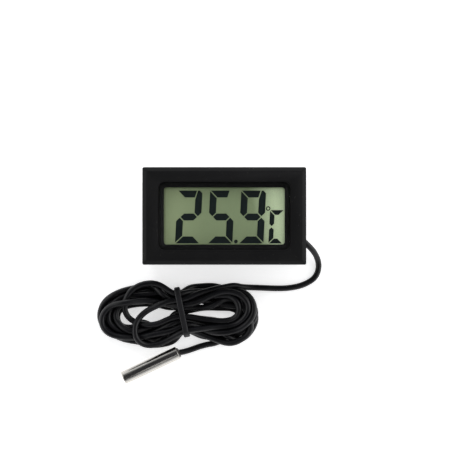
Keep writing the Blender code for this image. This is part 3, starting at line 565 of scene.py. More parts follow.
finishes = {
    "housing": mouldedPlastic("mouldedHousing", mouldedLook()),
    "cover": mouldedPlastic("mouldedCover", mouldedLook(smooth=0.48, rough=0.6, grainDepth=0.00003)),
    "clip": mouldedPlastic("mouldedClip", mouldedLook(smooth=0.38, rough=0.48)),
    "window": clearWindow(),
    "film": displayFilm(),
    "ink": displayInk(),
    "glass": displayGlass(),
    "jacket": cableJacket(),
    "tie": tieRubber(),
    "resin": pottingResin(),
    "board": boardLaminate(),
    "ceramic": paleCeramic(),
    "rubber": contactRubber(),
    "red": wireInsulation("redInsulation", (0.36, 0.014, 0.01), (0.46, 0.025, 0.018)),
    "steel": metalFinish("drawnSteel", steelLook),
    "nickel": metalFinish("nickelPlate", metalLook(colour=(0.60, 0.56, 0.48), smooth=0.2, rough=0.34)),
    "cell": metalFinish("cellSteel", cellLook),
    "screw": metalFinish("plainScrew", screwLook),
    "bead": wireInsulation("beadGlass", (0.35, 0.33, 0.28), (0.48, 0.45, 0.38)),
}

# which of the frame's own pieces gets which finish
nodeFinishes = {
    "film": ("front_polariser", "rear_reflector"),
    "glass": ("lcd_front_glass", "lcd_rear_glass"),
    "rubber": ("zebra_strip_upper", "zebra_strip_lower"),
    "board": ("circuit_board",),
    "resin": ("chip_blob",),
    "ceramic": ("chip_resistor_1", "chip_resistor_2", "chip_capacitor"),
    "screw": ("board_screw_1", "board_screw_2", "board_screw_3", "board_screw_4"),
    "nickel": (
        "crystal_can", "positive_contact", "negative_contact", "battery_link_plate", "cable_stop_collar",
    ),
    "cell": ("button_cell_left", "button_cell_right"),
    "jacket": ("cable_inner_end", "sensor_wire_2"),
    "red": ("sensor_wire_1",),
    "bead": ("thermistor_bead",),
}


def dressNodes():
    for finish, names in nodeFinishes.items():
        for name in names:
            nodes[name].data.materials.clear()
            nodes[name].data.materials.append(finishes[finish])
    print("frame nodes dressed:", sum(len(names) for names in nodeFinishes.values()))


# cable: free lead, tied hank, free end

cableSizes = {
    "radius": 0.9,  # in mm here, as all of the cable's layout is
    "exit": (23.30, -7.055, 5.2),
    "spacing": 1.1,
    "steps": 400,
    "tightest": 4.2,
    "smoothings": 14,
    "fixedTo": 12.5,  # the lead stays as laid as far as this
    "pull": 0.06,
    "stiff": 0.18,
    "pileTop": 6.3,
    "dropHeight": 15.0,
    "restHeight": 1.5,
    "flattened": 0.12,  # share of the layout's height that counts towards the length
    "upperPart": 335,  # this much from the housing, the top turns, keeps close to its layout
    "fixedEnd": 15,  # points at the probe that stay as laid
    "bandHalf": 1.3,  # half the length along the hank that the band squeezes
    "gravity": 0.03,
    "damping": 0.8,
    "topSpeed": 0.3,
    "lineStep": 0.55,  # step of the finished line
    "length": 0.93,
}

tieSizes = {
    "middle": (-12.73, -28.9),
    "lean": math.radians(11.8),
    "reach": 6.55,  # from the middle to the band's inner face
    "thickness": 0.8,
    "width": 1.7,
    "edgeRound": 0.3,
}

leadRoute = [
    (24.9, -8.6, 5.05), (26.3, -10.0, 4.2), (27.4, -11.5, 2.9), (28.2, -13.2, 1.6),
    (28.5, -15.1, 0.95), (28.1, -17.1, 0.9), (27.1, -18.7, 0.9), (25.0, -20.15, 0.9),
    (22.3, -21.15, 0.9), (19.0, -21.7, 0.9), (15.5, -21.8, 0.9), (12.0, -21.65, 1.3),
    (9.3, -21.55, 2.4),
]
# the lead climbs onto the hank and goes under the band
climbRoute = [
    (6.8, -21.6, 4.6), (4.4, -21.7, 9.5), (2.0, -21.9, 13.5), (-1.4, -22.4, 16.5),
    (-4.7, -23.3, 16.5), (-8.1, -24.1, 15.5),
]
# the last turn comes out from under the hank as the free end
leaveRoute = [
    (-9.6, -27.3, 1.0), (-6.4, -26.4, 1.0), (-2.5, -26.0, 1.0), (1.2, -26.3, 1.0),
    (4.4, -27.3, 1.0), (6.6, -29.0, 1.0), (7.3, -31.2, 1.0), (6.4, -33.3, 1.0),
    (4.6, -34.9, 0.95), (2.6, -36.1, 0.9), (0.7, -37.0, 0.9), (-1.2, -37.7, 0.9),
]
tailRoute = [
    (-3.1, -38.4, 0.9), (-5.2, -38.8, 0.9), (-7.5, -39.4, 0.9), (-9.8, -40.2, 1.0),
    (-11.8, -40.8, 1.3), (-13.65, -41.15, 1.7),
]

# one row a turn, from the top of the pile down: where it crosses the band above, its left lobe's top,
# far left and bottom, where it crosses below, and its right lobe's bottom, far right and top
hankTurns = [
    (-24.4, (-18.6, -25.6), (-27.05, -34.2), (-22.6, -38.9), -34.4, (-4.0, -33.7), (7.1, -28.0), (1.3, -22.3)),
    (-26.2, (-28.0, -25.2), (-37.0, -31.8), (-29.8, -36.4), -33.0, (-2.0, -34.9), (9.3, -28.6), (3.0, -22.6)),
    (-22.9, (-21.8, -19.9), (-30.1, -27.2), (-23.5, -33.1), -30.2, (-1.4, -31.3), (5.0, -28.6), (0.3, -24.2)),
    (-25.3, (-28.0, -21.3), (-37.8, -31.3), (-29.5, -37.9), -35.0, (1.8, -38.2), (9.6, -30.5), (2.5, -24.0)),
    (-23.6, (-25.5, -22.9), (-35.2, -30.8), (-28.6, -36.2), -32.0, (0.0, -36.2), (8.8, -29.6), (2.0, -25.0)),
    (-27.2, (-27.0, -24.6), (-33.6, -30.4), (-27.6, -34.6), -33.6, (2.6, -37.2), (9.2, -31.5), (3.5, -26.0)),
    (-24.8, (-26.5, -23.8), (-36.0, -31.4), (-29.6, -37.2), -31.0, (1.0, -33.0), (7.0, -28.8), (1.5, -25.4)),
    (-26.6, (-26.0, -25.4), (-34.0, -30.0), (-27.5, -34.4), -34.8, (2.0, -35.4), (8.4, -30.4), (3.0, -26.0)),
    (-25.6, (-25.0, -24.0), (-35.0, -29.8), (-27.6, -35.0), -30.4, None, None, None),
]

# the two openings that the lower turns keep clear: middle, half length, half width
hankOpenings = [((-23.7, -29.35), 7.4, 2.0), ((-3.4, -29.4), 7.2, 0.9)]
# and the two ends that they stay inside: middle, half length, half width, side
hankEnds = [((-24.5, -29.7), 13.9, 9.0, -1), ((0.0, -30.3), 10.3, 8.9, 1)]

tieAlong = np.array([math.sin(tieSizes["lean"]), -math.cos(tieSizes["lean"])])
tieAcross = np.array([math.cos(tieSizes["lean"]), math.sin(tieSizes["lean"])])


def atBand(y):
    # the point of the band's line at this height
    middle = tieSizes["middle"]
    return (middle[0] + tieAlong[0] * (y - middle[1]) / tieAlong[1], y)


def swayed(start, startPull, end, endPull, count):
    # an easy curve between two points, leaving and arriving along the two pulls
    places = []
    for step in range(count):
        t = step / count
        a, b = 2 * t**3 - 3 * t**2 + 1, t**3 - 2 * t**2 + t
        c, d = 3 * t**2 - 2 * t**3, t**3 - t**2
        places.append(tuple(a * start[k] + b * startPull[k] + c * end[k] + d * endPull[k] for k in range(2)))
    return places


def quarter(start, end, levelFirst, count=4):
    # a quarter of an ellipse, level at its start or at its end
    places = []
    for step in range(count):
        s, c = math.sin(math.pi / 2 * step / count), math.cos(math.pi / 2 * step / count)
        if levelFirst:
            places.append((start[0] + (end[0] - start[0]) * s, end[1] + (start[1] - end[1]) * c))
        else:
            places.append((end[0] + (start[0] - end[0]) * c, start[1] + (end[1] - start[1]) * s))
    return places


def turnPlaces(turn, nextAbove):
    above, leftTop, leftFar, leftLow, below, rightLow, rightFar, rightTop = turn
    crossAbove, crossBelow = atBand(above), atBand(below)
    run = leftTop[0] - crossAbove[0]
    drop = leftTop[1] - above
    sinking = drop < 0
    places = swayed(crossAbove, (run, drop), leftTop, (run * 1.1, drop * 1.6 if sinking else 0), 4)
    if sinking:
        places += swayed(leftTop, (run, drop * 1.6), leftFar, (0, (leftFar[1] - leftTop[1]) * 1.5), 4)
    else:
        places += quarter(leftTop, leftFar, True)
    places += quarter(leftFar, leftLow, False)
    run = crossBelow[0] - leftLow[0]
    places += swayed(leftLow, (run * 1.1, 0), crossBelow, (run * 0.8, (below - leftLow[1]) * 0.6), 4)
    if rightLow is None:
        return places + [crossBelow]
    run = rightLow[0] - crossBelow[0]
    places += swayed(crossBelow, (run * 0.8, (rightLow[1] - below) * 0.8), rightLow, (run * 1.1, 0), 4)
    places += quarter(rightLow, rightFar, True)
    places += quarter(rightFar, rightTop, False)
    nextCross = atBand(nextAbove)
    run = nextCross[0] - rightTop[0]
    arriving = (run * 0.9, (nextAbove - rightTop[1]) * 0.9)
    return places + swayed(rightTop, (run * 1.1, 0), nextCross, arriving, 4)


def hankPlaces():
    # the whole cable as laid out before it settles, from the housing to the probe
    places = [cableSizes["exit"], *leadRoute, *climbRoute]
    count = len(hankTurns)
    fall = (cableSizes["restHeight"] - cableSizes["dropHeight"]) / (count - 0.5)
    for number, turn in enumerate(hankTurns):
        nextAbove = hankTurns[number + 1][0] if number + 1 < count else None
        flat = turnPlaces(turn, nextAbove)
        whole = len(flat) if turn[5] else 2 * len(flat)
        for step, (x, y) in enumerate(flat):
            places.append((x, y, cableSizes["dropHeight"] + fall * (number + step / whole)))
    return [np.array(place, float) for place in [*places, *leaveRoute, *tailRoute]]


def evenPoints(places, spacing):
    # a smooth curve through the places, cut into even steps
    ends = [2 * places[0] - places[1], *places, 2 * places[-1] - places[-2]]
    fine = []
    for a, b, c, d in zip(ends, ends[1:], ends[2:], ends[3:]):
        t1 = np.linalg.norm(b - a) ** 0.5
        t2 = t1 + np.linalg.norm(c - b) ** 0.5
        t3 = t2 + np.linalg.norm(d - c) ** 0.5
        for step in range(24):
            t = t1 + (t2 - t1) * step / 24
            ab = (t1 - t) / t1 * a + t / t1 * b
            bc = (t2 - t) / (t2 - t1) * b + (t - t1) / (t2 - t1) * c
            cd = (t3 - t) / (t3 - t2) * c + (t - t2) / (t3 - t2) * d
            abc = (t2 - t) / t2 * ab + t / t2 * bc
            bcd = (t3 - t) / (t3 - t1) * bc + (t - t1) / (t3 - t1) * cd
            fine.append((t2 - t) / (t2 - t1) * abc + (t - t1) / (t2 - t1) * bcd)
    return resample(np.array([*fine, places[-1]]), spacing)


def resample(points, spacing):
    along = np.concatenate([[0], np.cumsum(np.linalg.norm(np.diff(points, axis=0), axis=1))])
    stops = np.linspace(0, along[-1], int(round(along[-1] / spacing)) + 1)
    return np.stack([np.interp(stops, along, points[:, axis]) for axis in range(3)], 1)


def settle(start):
    # the laid out cable drops, spreads and stiffens until its turns lie on and beside each other
    radius, spacing = cableSizes["radius"], cableSizes["spacing"]
    thick = 2 * radius
    points = start.copy()
    index = np.arange(len(points))
    # the layout is stretched upwards only to keep its turns in order
    rest = np.linalg.norm(np.diff(start * (1, 1, cableSizes["flattened"]), axis=0), axis=1)
    along = np.concatenate([[0], np.cumsum(rest)])
    upper = along < cableSizes["upperPart"]
    weight = np.where(upper, 0.3, 1.0)
    hold = np.where(upper, 1.0, 0.25)
    weight[: np.argmax(start[:, 0] < cableSizes["fixedTo"])] = 0
    weight[-cableSizes["fixedEnd"] :] = 0
    free = weight > 0
    skip = int(thick * 2.2 / spacing) + 1
    loop = cableSizes["tightest"]
    shortest = 2 * loop * np.sin((along[4:] - along[:-4]) / 2 / loop)
    inBand = free & (np.abs(start[:, 0] - tieSizes["middle"][0]) < 8)
    speed = np.zeros_like(points)

    def stretch(first, second, wanted, onlyShort=False, share=1.0):
        gap = points[second] - points[first]
        size = np.linalg.norm(gap, axis=1) + 1e-9
        total = np.maximum(weight[first] + weight[second], 1e-9)
        change = (size - wanted) / size / total * share
        if onlyShort:
            change = np.where(size < wanted, change, 0)
        move = change[:, None] * gap
        points[first] += move * weight[first][:, None]
        points[second] -= move * weight[second][:, None]

    for step in range(cableSizes["steps"]):
        progress = step / cableSizes["steps"]
        if step % 4 == 0:
            apart = ((points[:, None, :] - points[None, :, :]) ** 2).sum(-1)
            first, second = np.where(apart < (thick + 0.9) ** 2)
            keep = (second - first) > skip
            first, second = first[keep], second[keep]
        before = points.copy()
        speed[:, 2] -= cableSizes["gravity"]
        points += speed * weight[:, None]
        pull = cableSizes["pull"] * max(0.15, 1 - progress * 1.2) * hold * free
        points[:, :2] += (start[:, :2] - points[:, :2]) * pull[:, None]
        for _ in range(3):
            for offset in (0, 1):
                stretch(index[offset:-1:2], index[offset:-1:2] + 1, rest[offset::2])
            for offset in range(4):
                stretch(index[offset:-4:4], index[offset:-4:4] + 4, shortest[offset::4], True, 0.6)
            bend = np.zeros_like(points)
            bend[1:-1] = (points[:-2] + points[2:]) / 2 - points[1:-1]
            spring = np.zeros_like(points)
            spring[2:-2] = (bend[1:-3] + bend[3:-1]) / 2 - bend[2:-2]
            points -= spring * cableSizes["stiff"] * free[:, None]
            for _ in range(2):
                gap = points[second] - points[first]
                size = np.linalg.norm(gap, axis=1) + 1e-9
                near = size < thick
                one, other = first[near], second[near]
                total = np.maximum(weight[one] + weight[other], 1e-9)
                move = ((size[near] - thick) / size[near] / total)[:, None] * gap[near]
                push, count = np.zeros_like(points), np.zeros(len(points))
                np.add.at(push, one, move * weight[one][:, None])
                np.add.at(push, other, -move * weight[other][:, None])
                np.add.at(count, one, 1)
                np.add.at(count, other, 1)
                points += push / np.maximum(1, count * 0.6)[:, None]
            points[free, 2] = np.maximum(points[free, 2], radius)
            fromTie = points[:, :2] - np.array(tieSizes["middle"])
            inside = inBand & (np.abs(fromTie @ tieAcross) < cableSizes["bandHalf"])
            past = fromTie[inside] @ tieAlong
            room = tieSizes["reach"] - radius
            points[inside, :2] -= np.outer(past - np.clip(past, -room, room), tieAlong)
            points[inside, 2] = np.maximum(points[inside, 2], tieSizes["thickness"] + radius)
            for middle, longHalf, shortHalf in hankOpenings:
                half = np.array([longHalf + radius, shortHalf + radius])
                local = (points[:, :2] - middle) / half
                size = np.linalg.norm(local, axis=1) + 1e-9
                within = free & ~upper & (size < 1)
                points[within, :2] = (local * (0.65 + 0.35 / size[:, None]) * half)[within] + middle
            for middle, longHalf, shortHalf, side in hankEnds:
                half = np.array([longHalf - radius, shortHalf - radius])
                local = (points[:, :2] - middle) / half
                size = np.linalg.norm(local, axis=1) + 1e-9
                past = free & ~upper & (size > 1) & (local[:, 0] * side > 0)
                points[past, :2] = (local * (0.85 + 0.15 / size[:, None]) * half)[past] + middle
            lid = cableSizes["pileTop"] + (1 - min(1, progress * 1.5)) * 12
            points[free, 2] = np.minimum(points[free, 2], lid - radius)
        speed = (points - before) * cableSizes["damping"]
        size = np.linalg.norm(speed, axis=1)
        speed *= np.minimum(1, cableSizes["topSpeed"] / np.maximum(size, 1e-9))[:, None]
    for share in [0.5, -0.52] * cableSizes["smoothings"]:
        shift = np.zeros_like(points)
        shift[1:-1] = (points[:-2] + points[2:]) / 2 - points[1:-1]
        points += shift * share * free[:, None]
        points[:, 2] = np.maximum(points[:, 2], radius)
    return points


def addCable():
    laid = evenPoints(hankPlaces(), cableSizes["spacing"])
    settled = settle(laid)
    line = evenPoints(list(settled), cableSizes["lineStep"])
    data = bpy.data.curves.new("cable", "CURVE")
    data.dimensions = "3D"
    data.bevel_depth = cableSizes["radius"] * mm
    data.bevel_resolution = 5
    data.use_fill_caps = True
    spline = data.splines.new("POLY")
    spline.points.add(len(line) - 1)
    spline.points.foreach_set("co", np.c_[line * mm, np.ones(len(line))].ravel())
    spline.use_smooth = True
    cable = bpy.data.objects.new("cable", data)
    bpy.context.scene.collection.objects.link(cable)
    dress(cable, finishes["jacket"])
    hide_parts("cable_lead", "cable_hank", "cable_tail")
    length = np.linalg.norm(np.diff(line, axis=0), axis=1).sum()
    top = line[:, 2].max() + cableSizes["radius"]
    print("cable laid, length in mm:", round(length, 1), "top of pile:", round(top, 2))
    return cable, line


# band round the hank


def bandOutline(line):
    # the smallest rounded loop round the strands that cross the band's plane
    middle = np.array([*tieSizes["middle"], 0])
    away = (line - middle)[:, :2] @ tieAcross
    inside = (np.abs(away) < tieSizes["width"] / 2 + 0.4) & (np.abs((line - middle)[:, :2] @ tieAlong) < 8)
    strands = np.c_[(line - middle)[inside][:, :2] @ tieAlong, line[inside][:, 2]]
    clear = cableSizes["radius"] + tieSizes["thickness"] / 2 + 0.05
    outline = []
    for step in range(96):
        turn = 2 * math.pi * step / 96
        way = np.array([math.cos(turn), math.sin(turn)])
        reach = strands @ way
        outline.append(strands[np.argmax(reach)] + way * clear)
    loop = np.array(outline)
    loop = resample(np.c_[np.vstack([loop, loop[:1]]), np.zeros(97)], 0.3)[:-1, :2]
    for _ in range(6):
        loop = loop * 0.5 + (np.roll(loop, 1, axis=0) + np.roll(loop, -1, axis=0)) * 0.25
    loop[:, 1] = np.maximum(loop[:, 1], tieSizes["thickness"] / 2)
    return loop


def addTie(line):
    loop = bandOutline(line)
    width, thick = tieSizes["width"] / 2 * mm, tieSizes["thickness"] / 2 * mm
    profileData = bpy.data.curves.new("tieProfile", "CURVE")
    profileData.dimensions = "2D"
    profile = profileData.splines.new("POLY")
    shape = []
    corner = tieSizes["edgeRound"] * mm
    for side, end, first in ((1, 1, 0), (-1, 1, 90), (-1, -1, 180), (1, -1, 270)):
        for step in range(5):
            turn = math.radians(first + step * 22.5)
            x = side * (thick - corner) + corner * math.cos(turn)
            shape.append((x, end * (width - corner) + corner * math.sin(turn)))
    profile.points.add(len(shape) - 1)
    for point, (x, y) in zip(profile.points, shape):
        point.co = (x, y, 0, 1)
    profile.use_cyclic_u = True
    profileObject = bpy.data.objects.new("tieProfile", profileData)
    bpy.context.scene.collection.objects.link(profileObject)

    data = bpy.data.curves.new("tie_band", "CURVE")
    data.dimensions = "2D"
    data.fill_mode = "NONE"
    data.bevel_mode = "OBJECT"
    data.bevel_object = profileObject
    spline = data.splines.new("POLY")
    spline.points.add(len(loop) - 1)
    for point, (x, y) in zip(spline.points, loop):
        point.co = (x * mm, y * mm, 0, 1)
    spline.use_cyclic_u = True
    spline.use_smooth = True
    tie = bpy.data.objects.new("tie_band", data)
    bpy.context.scene.collection.objects.link(tie)
    along, up = Vector((*tieAlong, 0)), Vector((0, 0, 1))
    place = Matrix.Identity(4)
    place.col[0].xyz, place.col[1].xyz, place.col[2].xyz = along, up, along.cross(up)
    place.translation = Vector((*tieSizes["middle"], 0)) * mm
    makeActive(tie)
    bpy.ops.object.convert(target="MESH")
    bpy.data.objects.remove(profileObject)
    tie = namePiece("tie_band")
    tie.data.transform(place)
    bpy.ops.object.mode_set(mode="EDIT")
    bpy.ops.mesh.select_all(action="SELECT")
    bpy.ops.mesh.remove_doubles(threshold=0.00001)
    bpy.ops.mesh.normals_make_consistent(inside=False)
    bpy.ops.object.mode_set(mode="OBJECT")
    bpy.ops.object.shade_smooth_by_angle(angle=math.radians(40))
    dress(tie, finishes["tie"])
    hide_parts("cable_tie")
    print("band closed round the hank")
    return tie


# probe

probeSizes = {
    "mouth": (-14.0 * mm, -41.1 * mm, 2.0 * mm),
    "turn": probeTurn,
    "radius": 2.0 * mm,
    "length": 18.2 * mm,
    "wall": 0.35 * mm,
    "tipRound": 0.45 * mm,
    "lipRound": 0.12 * mm,
    "resinBulge": 0.9 * mm,
}


def probePlace():
    return Matrix.Translation(probeSizes["mouth"]) @ Matrix.Rotation(probeSizes["turn"], 4, "Z")


def addProbe():
    # local X runs from the mouth to the closed tip
    s = probeSizes
    clearSelection()
    bpy.ops.mesh.primitive_cylinder_add(vertices=64, radius=s["radius"], depth=s["length"])
    tube = namePiece("probe_sleeve")
    lying = Matrix.Rotation(math.radians(90), 4, "Y")
    tube.data.transform(Matrix.Translation((s["length"] / 2, 0, 0)) @ lying)
    selectFaces(tube, lambda middle, normal: normal.x < -0.9)
    bpy.ops.mesh.inset(thickness=s["wall"])
    bpy.ops.mesh.extrude_region_move(TRANSFORM_OT_translate={"value": (s["length"] - 2 * s["wall"], 0, 0)})
    selectEdges(tube, lambda a, b: a.x > s["length"] * 0.99 and b.x > s["length"] * 0.99)
    bpy.ops.mesh.bevel(offset=s["tipRound"], segments=6, profile=0.6)
    selectEdges(tube, lambda a, b: abs(a.x) < s["lipRound"] / 4 and abs(b.x) < s["lipRound"] / 4)
    bpy.ops.mesh.bevel(offset=s["lipRound"], segments=3)
    bpy.ops.mesh.select_all(action="SELECT")
    bpy.ops.mesh.normals_make_consistent(inside=False)
    bpy.ops.object.mode_set(mode="OBJECT")
    bpy.ops.object.shade_smooth_by_angle(angle=math.radians(35))
    tube.data.transform(probePlace())
    dress(tube, finishes["steel"])
    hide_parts("probe_tube")
    return tube


def addResin(line):
    # filler in the mouth that creeps out along the cable
    s = probeSizes
    clearSelection()
    bore = s["radius"] - s["wall"] - 0.02 * mm
    bpy.ops.mesh.primitive_uv_sphere_add(segments=40, ring_count=24, radius=bore)
    resin = namePiece("probe_filler")
    toProbe = probePlace().inverted()
    start = toProbe @ Vector(line[-1] * mm)
    for vertex in resin.data.vertices:
        co = vertex.co
        along = -co.z / bore
        if along > 0:  # into the tube: a plug
            reach = min(1.0, math.hypot(co.x, co.y) / bore * 1.6)
            vertex.co = (along**0.5 * 3.4 * mm, co.x, co.y)
            wide = math.hypot(co.x, co.y)
            if wide > 1e-9:
                grow = bore / wide * reach
                vertex.co.y, vertex.co.z = co.x * grow, co.y * grow
        else:
            out = -along
            shift = Vector((0, start.y, start.z)) * out**1.5
            vertex.co = (-out * s["resinBulge"] + 0.15 * mm, co.x + shift.y, co.y + shift.z)
    makeActive(resin)
    bpy.ops.object.mode_set(mode="EDIT")
    bpy.ops.mesh.select_all(action="SELECT")
    bpy.ops.mesh.normals_make_consistent(inside=False)
    bpy.ops.object.mode_set(mode="OBJECT")
    bpy.ops.object.shade_smooth()
    resin.data.transform(probePlace())
    dress(resin, finishes["resin"])
    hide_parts("probe_resin_plug")
    print("probe made")
    return resin


# housing, cover, door, clips and window: the frame's shapes with eased edges

easing = {
    "sharp": math.radians(30),  # edges sharper than this are eased
    "weld": 0.004 * mm,
    "flat": math.radians(0.6),
    "cornerReach": 1.6 * mm,  # how far in from the bezel's corner its edges may lie
    "flangeUnder": 12 * mm,
}


def plasticPiece(name, width, finish, body="housing", **more):
    return {"name": name, "width": width, "finish": finish, "slot": "housing_black", "body": body, **more}


easedPieces = {
    "front_housing": plasticPiece("bezel_and_walls", 0.11 * mm, "housing", corner=0.55 * mm),
    "rear_cover": plasticPiece("back_cover", 0.09 * mm, "cover"),
    "battery_door": plasticPiece("sliding_door", 0.09 * mm, "cover", "door"),
    "left_panel_clip": plasticPiece("left_clip", 0.08 * mm, "clip", "left_clip"),
    "right_panel_clip": plasticPiece("right_clip", 0.08 * mm, "clip", "right_clip"),
    "window_lens": {
        "name": "window_cover", "width": 0.12 * mm,
        "finish": "window", "slot": "window_clear", "body": "housing",
    },
}


def weighEdges(piece, plain, cornered):
    # every sharp edge is eased by the same width, the bezel's four corners by more
    shape = bmesh.new()
    shape.from_mesh(piece.data)
    weights = shape.edges.layers.float.new("bevel_weight_edge")
    reach = [value - easing["cornerReach"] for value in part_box(cornered)[1][:2]] if cornered else None
    for edge in shape.edges:
        if len(edge.link_faces) == 2 and edge.calc_face_angle() > easing["sharp"]:
            edge[weights] = plain
            ends = [vertex.co for vertex in edge.verts]
            upright = abs(ends[0].z - ends[1].z) > 0.3 * mm
            if reach and upright and all(
                abs(end.x) > reach[0] and abs(end.y) > reach[1] and end.z > easing["flangeUnder"]
                for end in ends
            ):
                edge[weights] = 1.0
    shape.to_mesh(piece.data)
    shape.free()


def markEdges(piece, width):
    # points that touch only the narrow eased faces are where an edge gets rubbed
    mesh = piece.data
    narrow = np.ones(len(mesh.vertices))
    for face in mesh.polygons:
        corners = [mesh.vertices[i].co for i in face.vertices]
        shortest = min((p - q).length for p, q in zip(corners, corners[1:] + corners[:1]))
        if shortest > width * 1.2 or (face.area > width * width * 3 and len(corners) != 4):
            for i in face.vertices:
                narrow[i] = 0
    mesh.attributes.new("rubbed", "FLOAT", "POINT").data.foreach_set("value", narrow)


def easedCopy(nodeName, settings):
    clearSelection()
    piece = nodes[nodeName].copy()
    piece.data = nodes[nodeName].data.copy()
    piece.parent = None
    for key in list(piece.keys()):
        del piece[key]
    bpy.context.scene.collection.objects.link(piece)
    piece.name = settings["name"]
    piece.data.name = settings["name"]
    makeActive(piece)
    bpy.ops.object.mode_set(mode="EDIT")
    bpy.ops.mesh.select_all(action="SELECT")
    bpy.ops.mesh.remove_doubles(threshold=easing["weld"])
    bpy.ops.mesh.dissolve_limited(angle_limit=easing["flat"])
    bpy.ops.object.mode_set(mode="OBJECT")
    bpy.ops.object.shade_smooth()
    widest = settings.get("corner", settings["width"])
    weighEdges(piece, settings["width"] / widest, nodeName if "corner" in settings else None)
    ease = piece.modifiers.new("ease", "BEVEL")
    ease.width = widest
    ease.segments = 2
    ease.limit_method = "WEIGHT"
    ease.use_clamp_overlap = True
    ease.harden_normals = True
    applyAll(piece)
    markEdges(piece, settings["width"])
    dress(piece, finishes[settings["finish"]], settings["body"])
    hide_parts(nodeName)
    return piece


def addEasedPieces():
    for nodeName, settings in easedPieces.items():
        easedCopy(nodeName, settings)
    print("eased pieces made:", len(easedPieces))


# display segments

digitSizes = {
    "height": 15.5 * mm,
    "width": 7.3 * mm,
    "stroke": 2.011 * mm,
    "gap": 0.33 * mm,
    "lean": math.radians(3.0),
    "low": -8.04 * mm,
    "thickness": 0.03 * mm,
    "steep": math.radians(15.5),
}

# left edge of each digit at its foot, and its dark bars
digitRows = [
    (-14.5 * mm, "abged"),
    (-4.95 * mm, "afgcd"),
    (4.2 * mm, "abcdfg"),
]

unitSizes = {
    "left": 12.95 * mm,
    "width": 4.11 * mm,
    "height": 9.75 * mm,
    "stroke": 1.36 * mm,
    "gap": 0.26 * mm,
    "ring": 0.66 * mm,
    "ringWall": 0.30 * mm,
    "ringMiddle": (12.35 * mm, 2.2 * mm),
    "point": (3.38 * mm, -7.5 * mm),
    "pointSize": 1.1 * mm,
}


def cutBar(low, high, cuts, thickness):
    # a flat bar trimmed by slanting cuts, each given by a place and the way that falls off
    clearSelection()
    bpy.ops.mesh.primitive_plane_add(size=1)
    bar = bpy.context.object
    size = (high[0] - low[0], high[1] - low[1])
    bar.data.transform(Matrix.Diagonal((*size, 1, 1)))
    bar.data.transform(Matrix.Translation(((low[0] + high[0]) / 2, (low[1] + high[1]) / 2, 0)))
    bpy.ops.object.mode_set(mode="EDIT")
    for place, way in cuts:
        bpy.ops.mesh.select_all(action="SELECT")
        bpy.ops.mesh.bisect(plane_co=(*place, 0), plane_no=(*way, 0), clear_outer=True)
    bpy.ops.mesh.select_mode(type="FACE")
    bpy.ops.mesh.select_all(action="SELECT")
    bpy.ops.mesh.extrude_region_move(TRANSFORM_OT_translate={"value": (0, 0, thickness)})
    bpy.ops.mesh.select_all(action="SELECT")
    bpy.ops.mesh.normals_make_consistent(inside=False)
    bpy.ops.object.mode_set(mode="OBJECT")
    return bar


def digitBars(left, low, width, height, stroke, gap, lit, steep=0.0):
    # a: top, b and c: right, d: bottom, e and f: left, g: middle
    right, top, half = left + width, low + height, low + height / 2
    slant = math.sqrt(0.5)
    off = gap / 2 / slant  # the gap runs square to the slanting cuts
    leftMiddle, rightMiddle = (left + stroke / 2, half), (right - stroke / 2, half)

    def cut(place, wayX, wayY):
        return ((place[0] - wayX * off, place[1]), (wayX * slant, wayY * slant))

    # the numerals' upper right bars meet on a steep slant, under a trimmed corner
    across, down = math.cos(steep), math.sin(steep)
    inner = (right - stroke, top - stroke)
    leanCut = [((inner[0] - gap / 2 * side, inner[1]), (across * side, -down * side)) for side in (1, -1)]
    trimmed = ((right, top - 0.4 * stroke), (slant, slant))
    topRight = leanCut[0] if steep else cut((right, top), 1, -1)
    rows = {
        "a": ((left, top - stroke), (right, top), [cut((left, top), -1, -1), topRight]),
        "d": ((left, low), (right, low + stroke), [cut((left, low), -1, 1), cut((right, low), 1, 1)]),
        "g": (
            (left, half - stroke / 2),
            (right, half + stroke / 2),
            [cut(place, x, y) for place, x in ((leftMiddle, -1), (rightMiddle, 1)) for y in (-1, 1)],
        ),
    }
    for key, x, middle, corner, side in (
        ("b", right - stroke, rightMiddle, (right, top), 1),
        ("c", right - stroke, rightMiddle, (right, low), -1),
        ("f", left, leftMiddle, (left, top), 1),
        ("e", left, leftMiddle, (left, low), -1),
    ):
        inward = -1 if x > left else 1
        start, end = sorted((half, corner[1]))
        tip = (middle[0], middle[1] + side * off)
        mitre = (corner[0], corner[1] - side * off)
        cuts = [
            (mitre, (inward * slant, side * slant)),
            (tip, (slant, -side * slant)),
            (tip, (-slant, -side * slant)),
        ]
        if key == "b" and steep:
            cuts[0:1] = [leanCut[1], trimmed]
        rows[key] = ((x, start), (x + stroke, end), cuts)
    return [cutBar(*rows[key], digitSizes["thickness"]) for key in rows if key in lit]


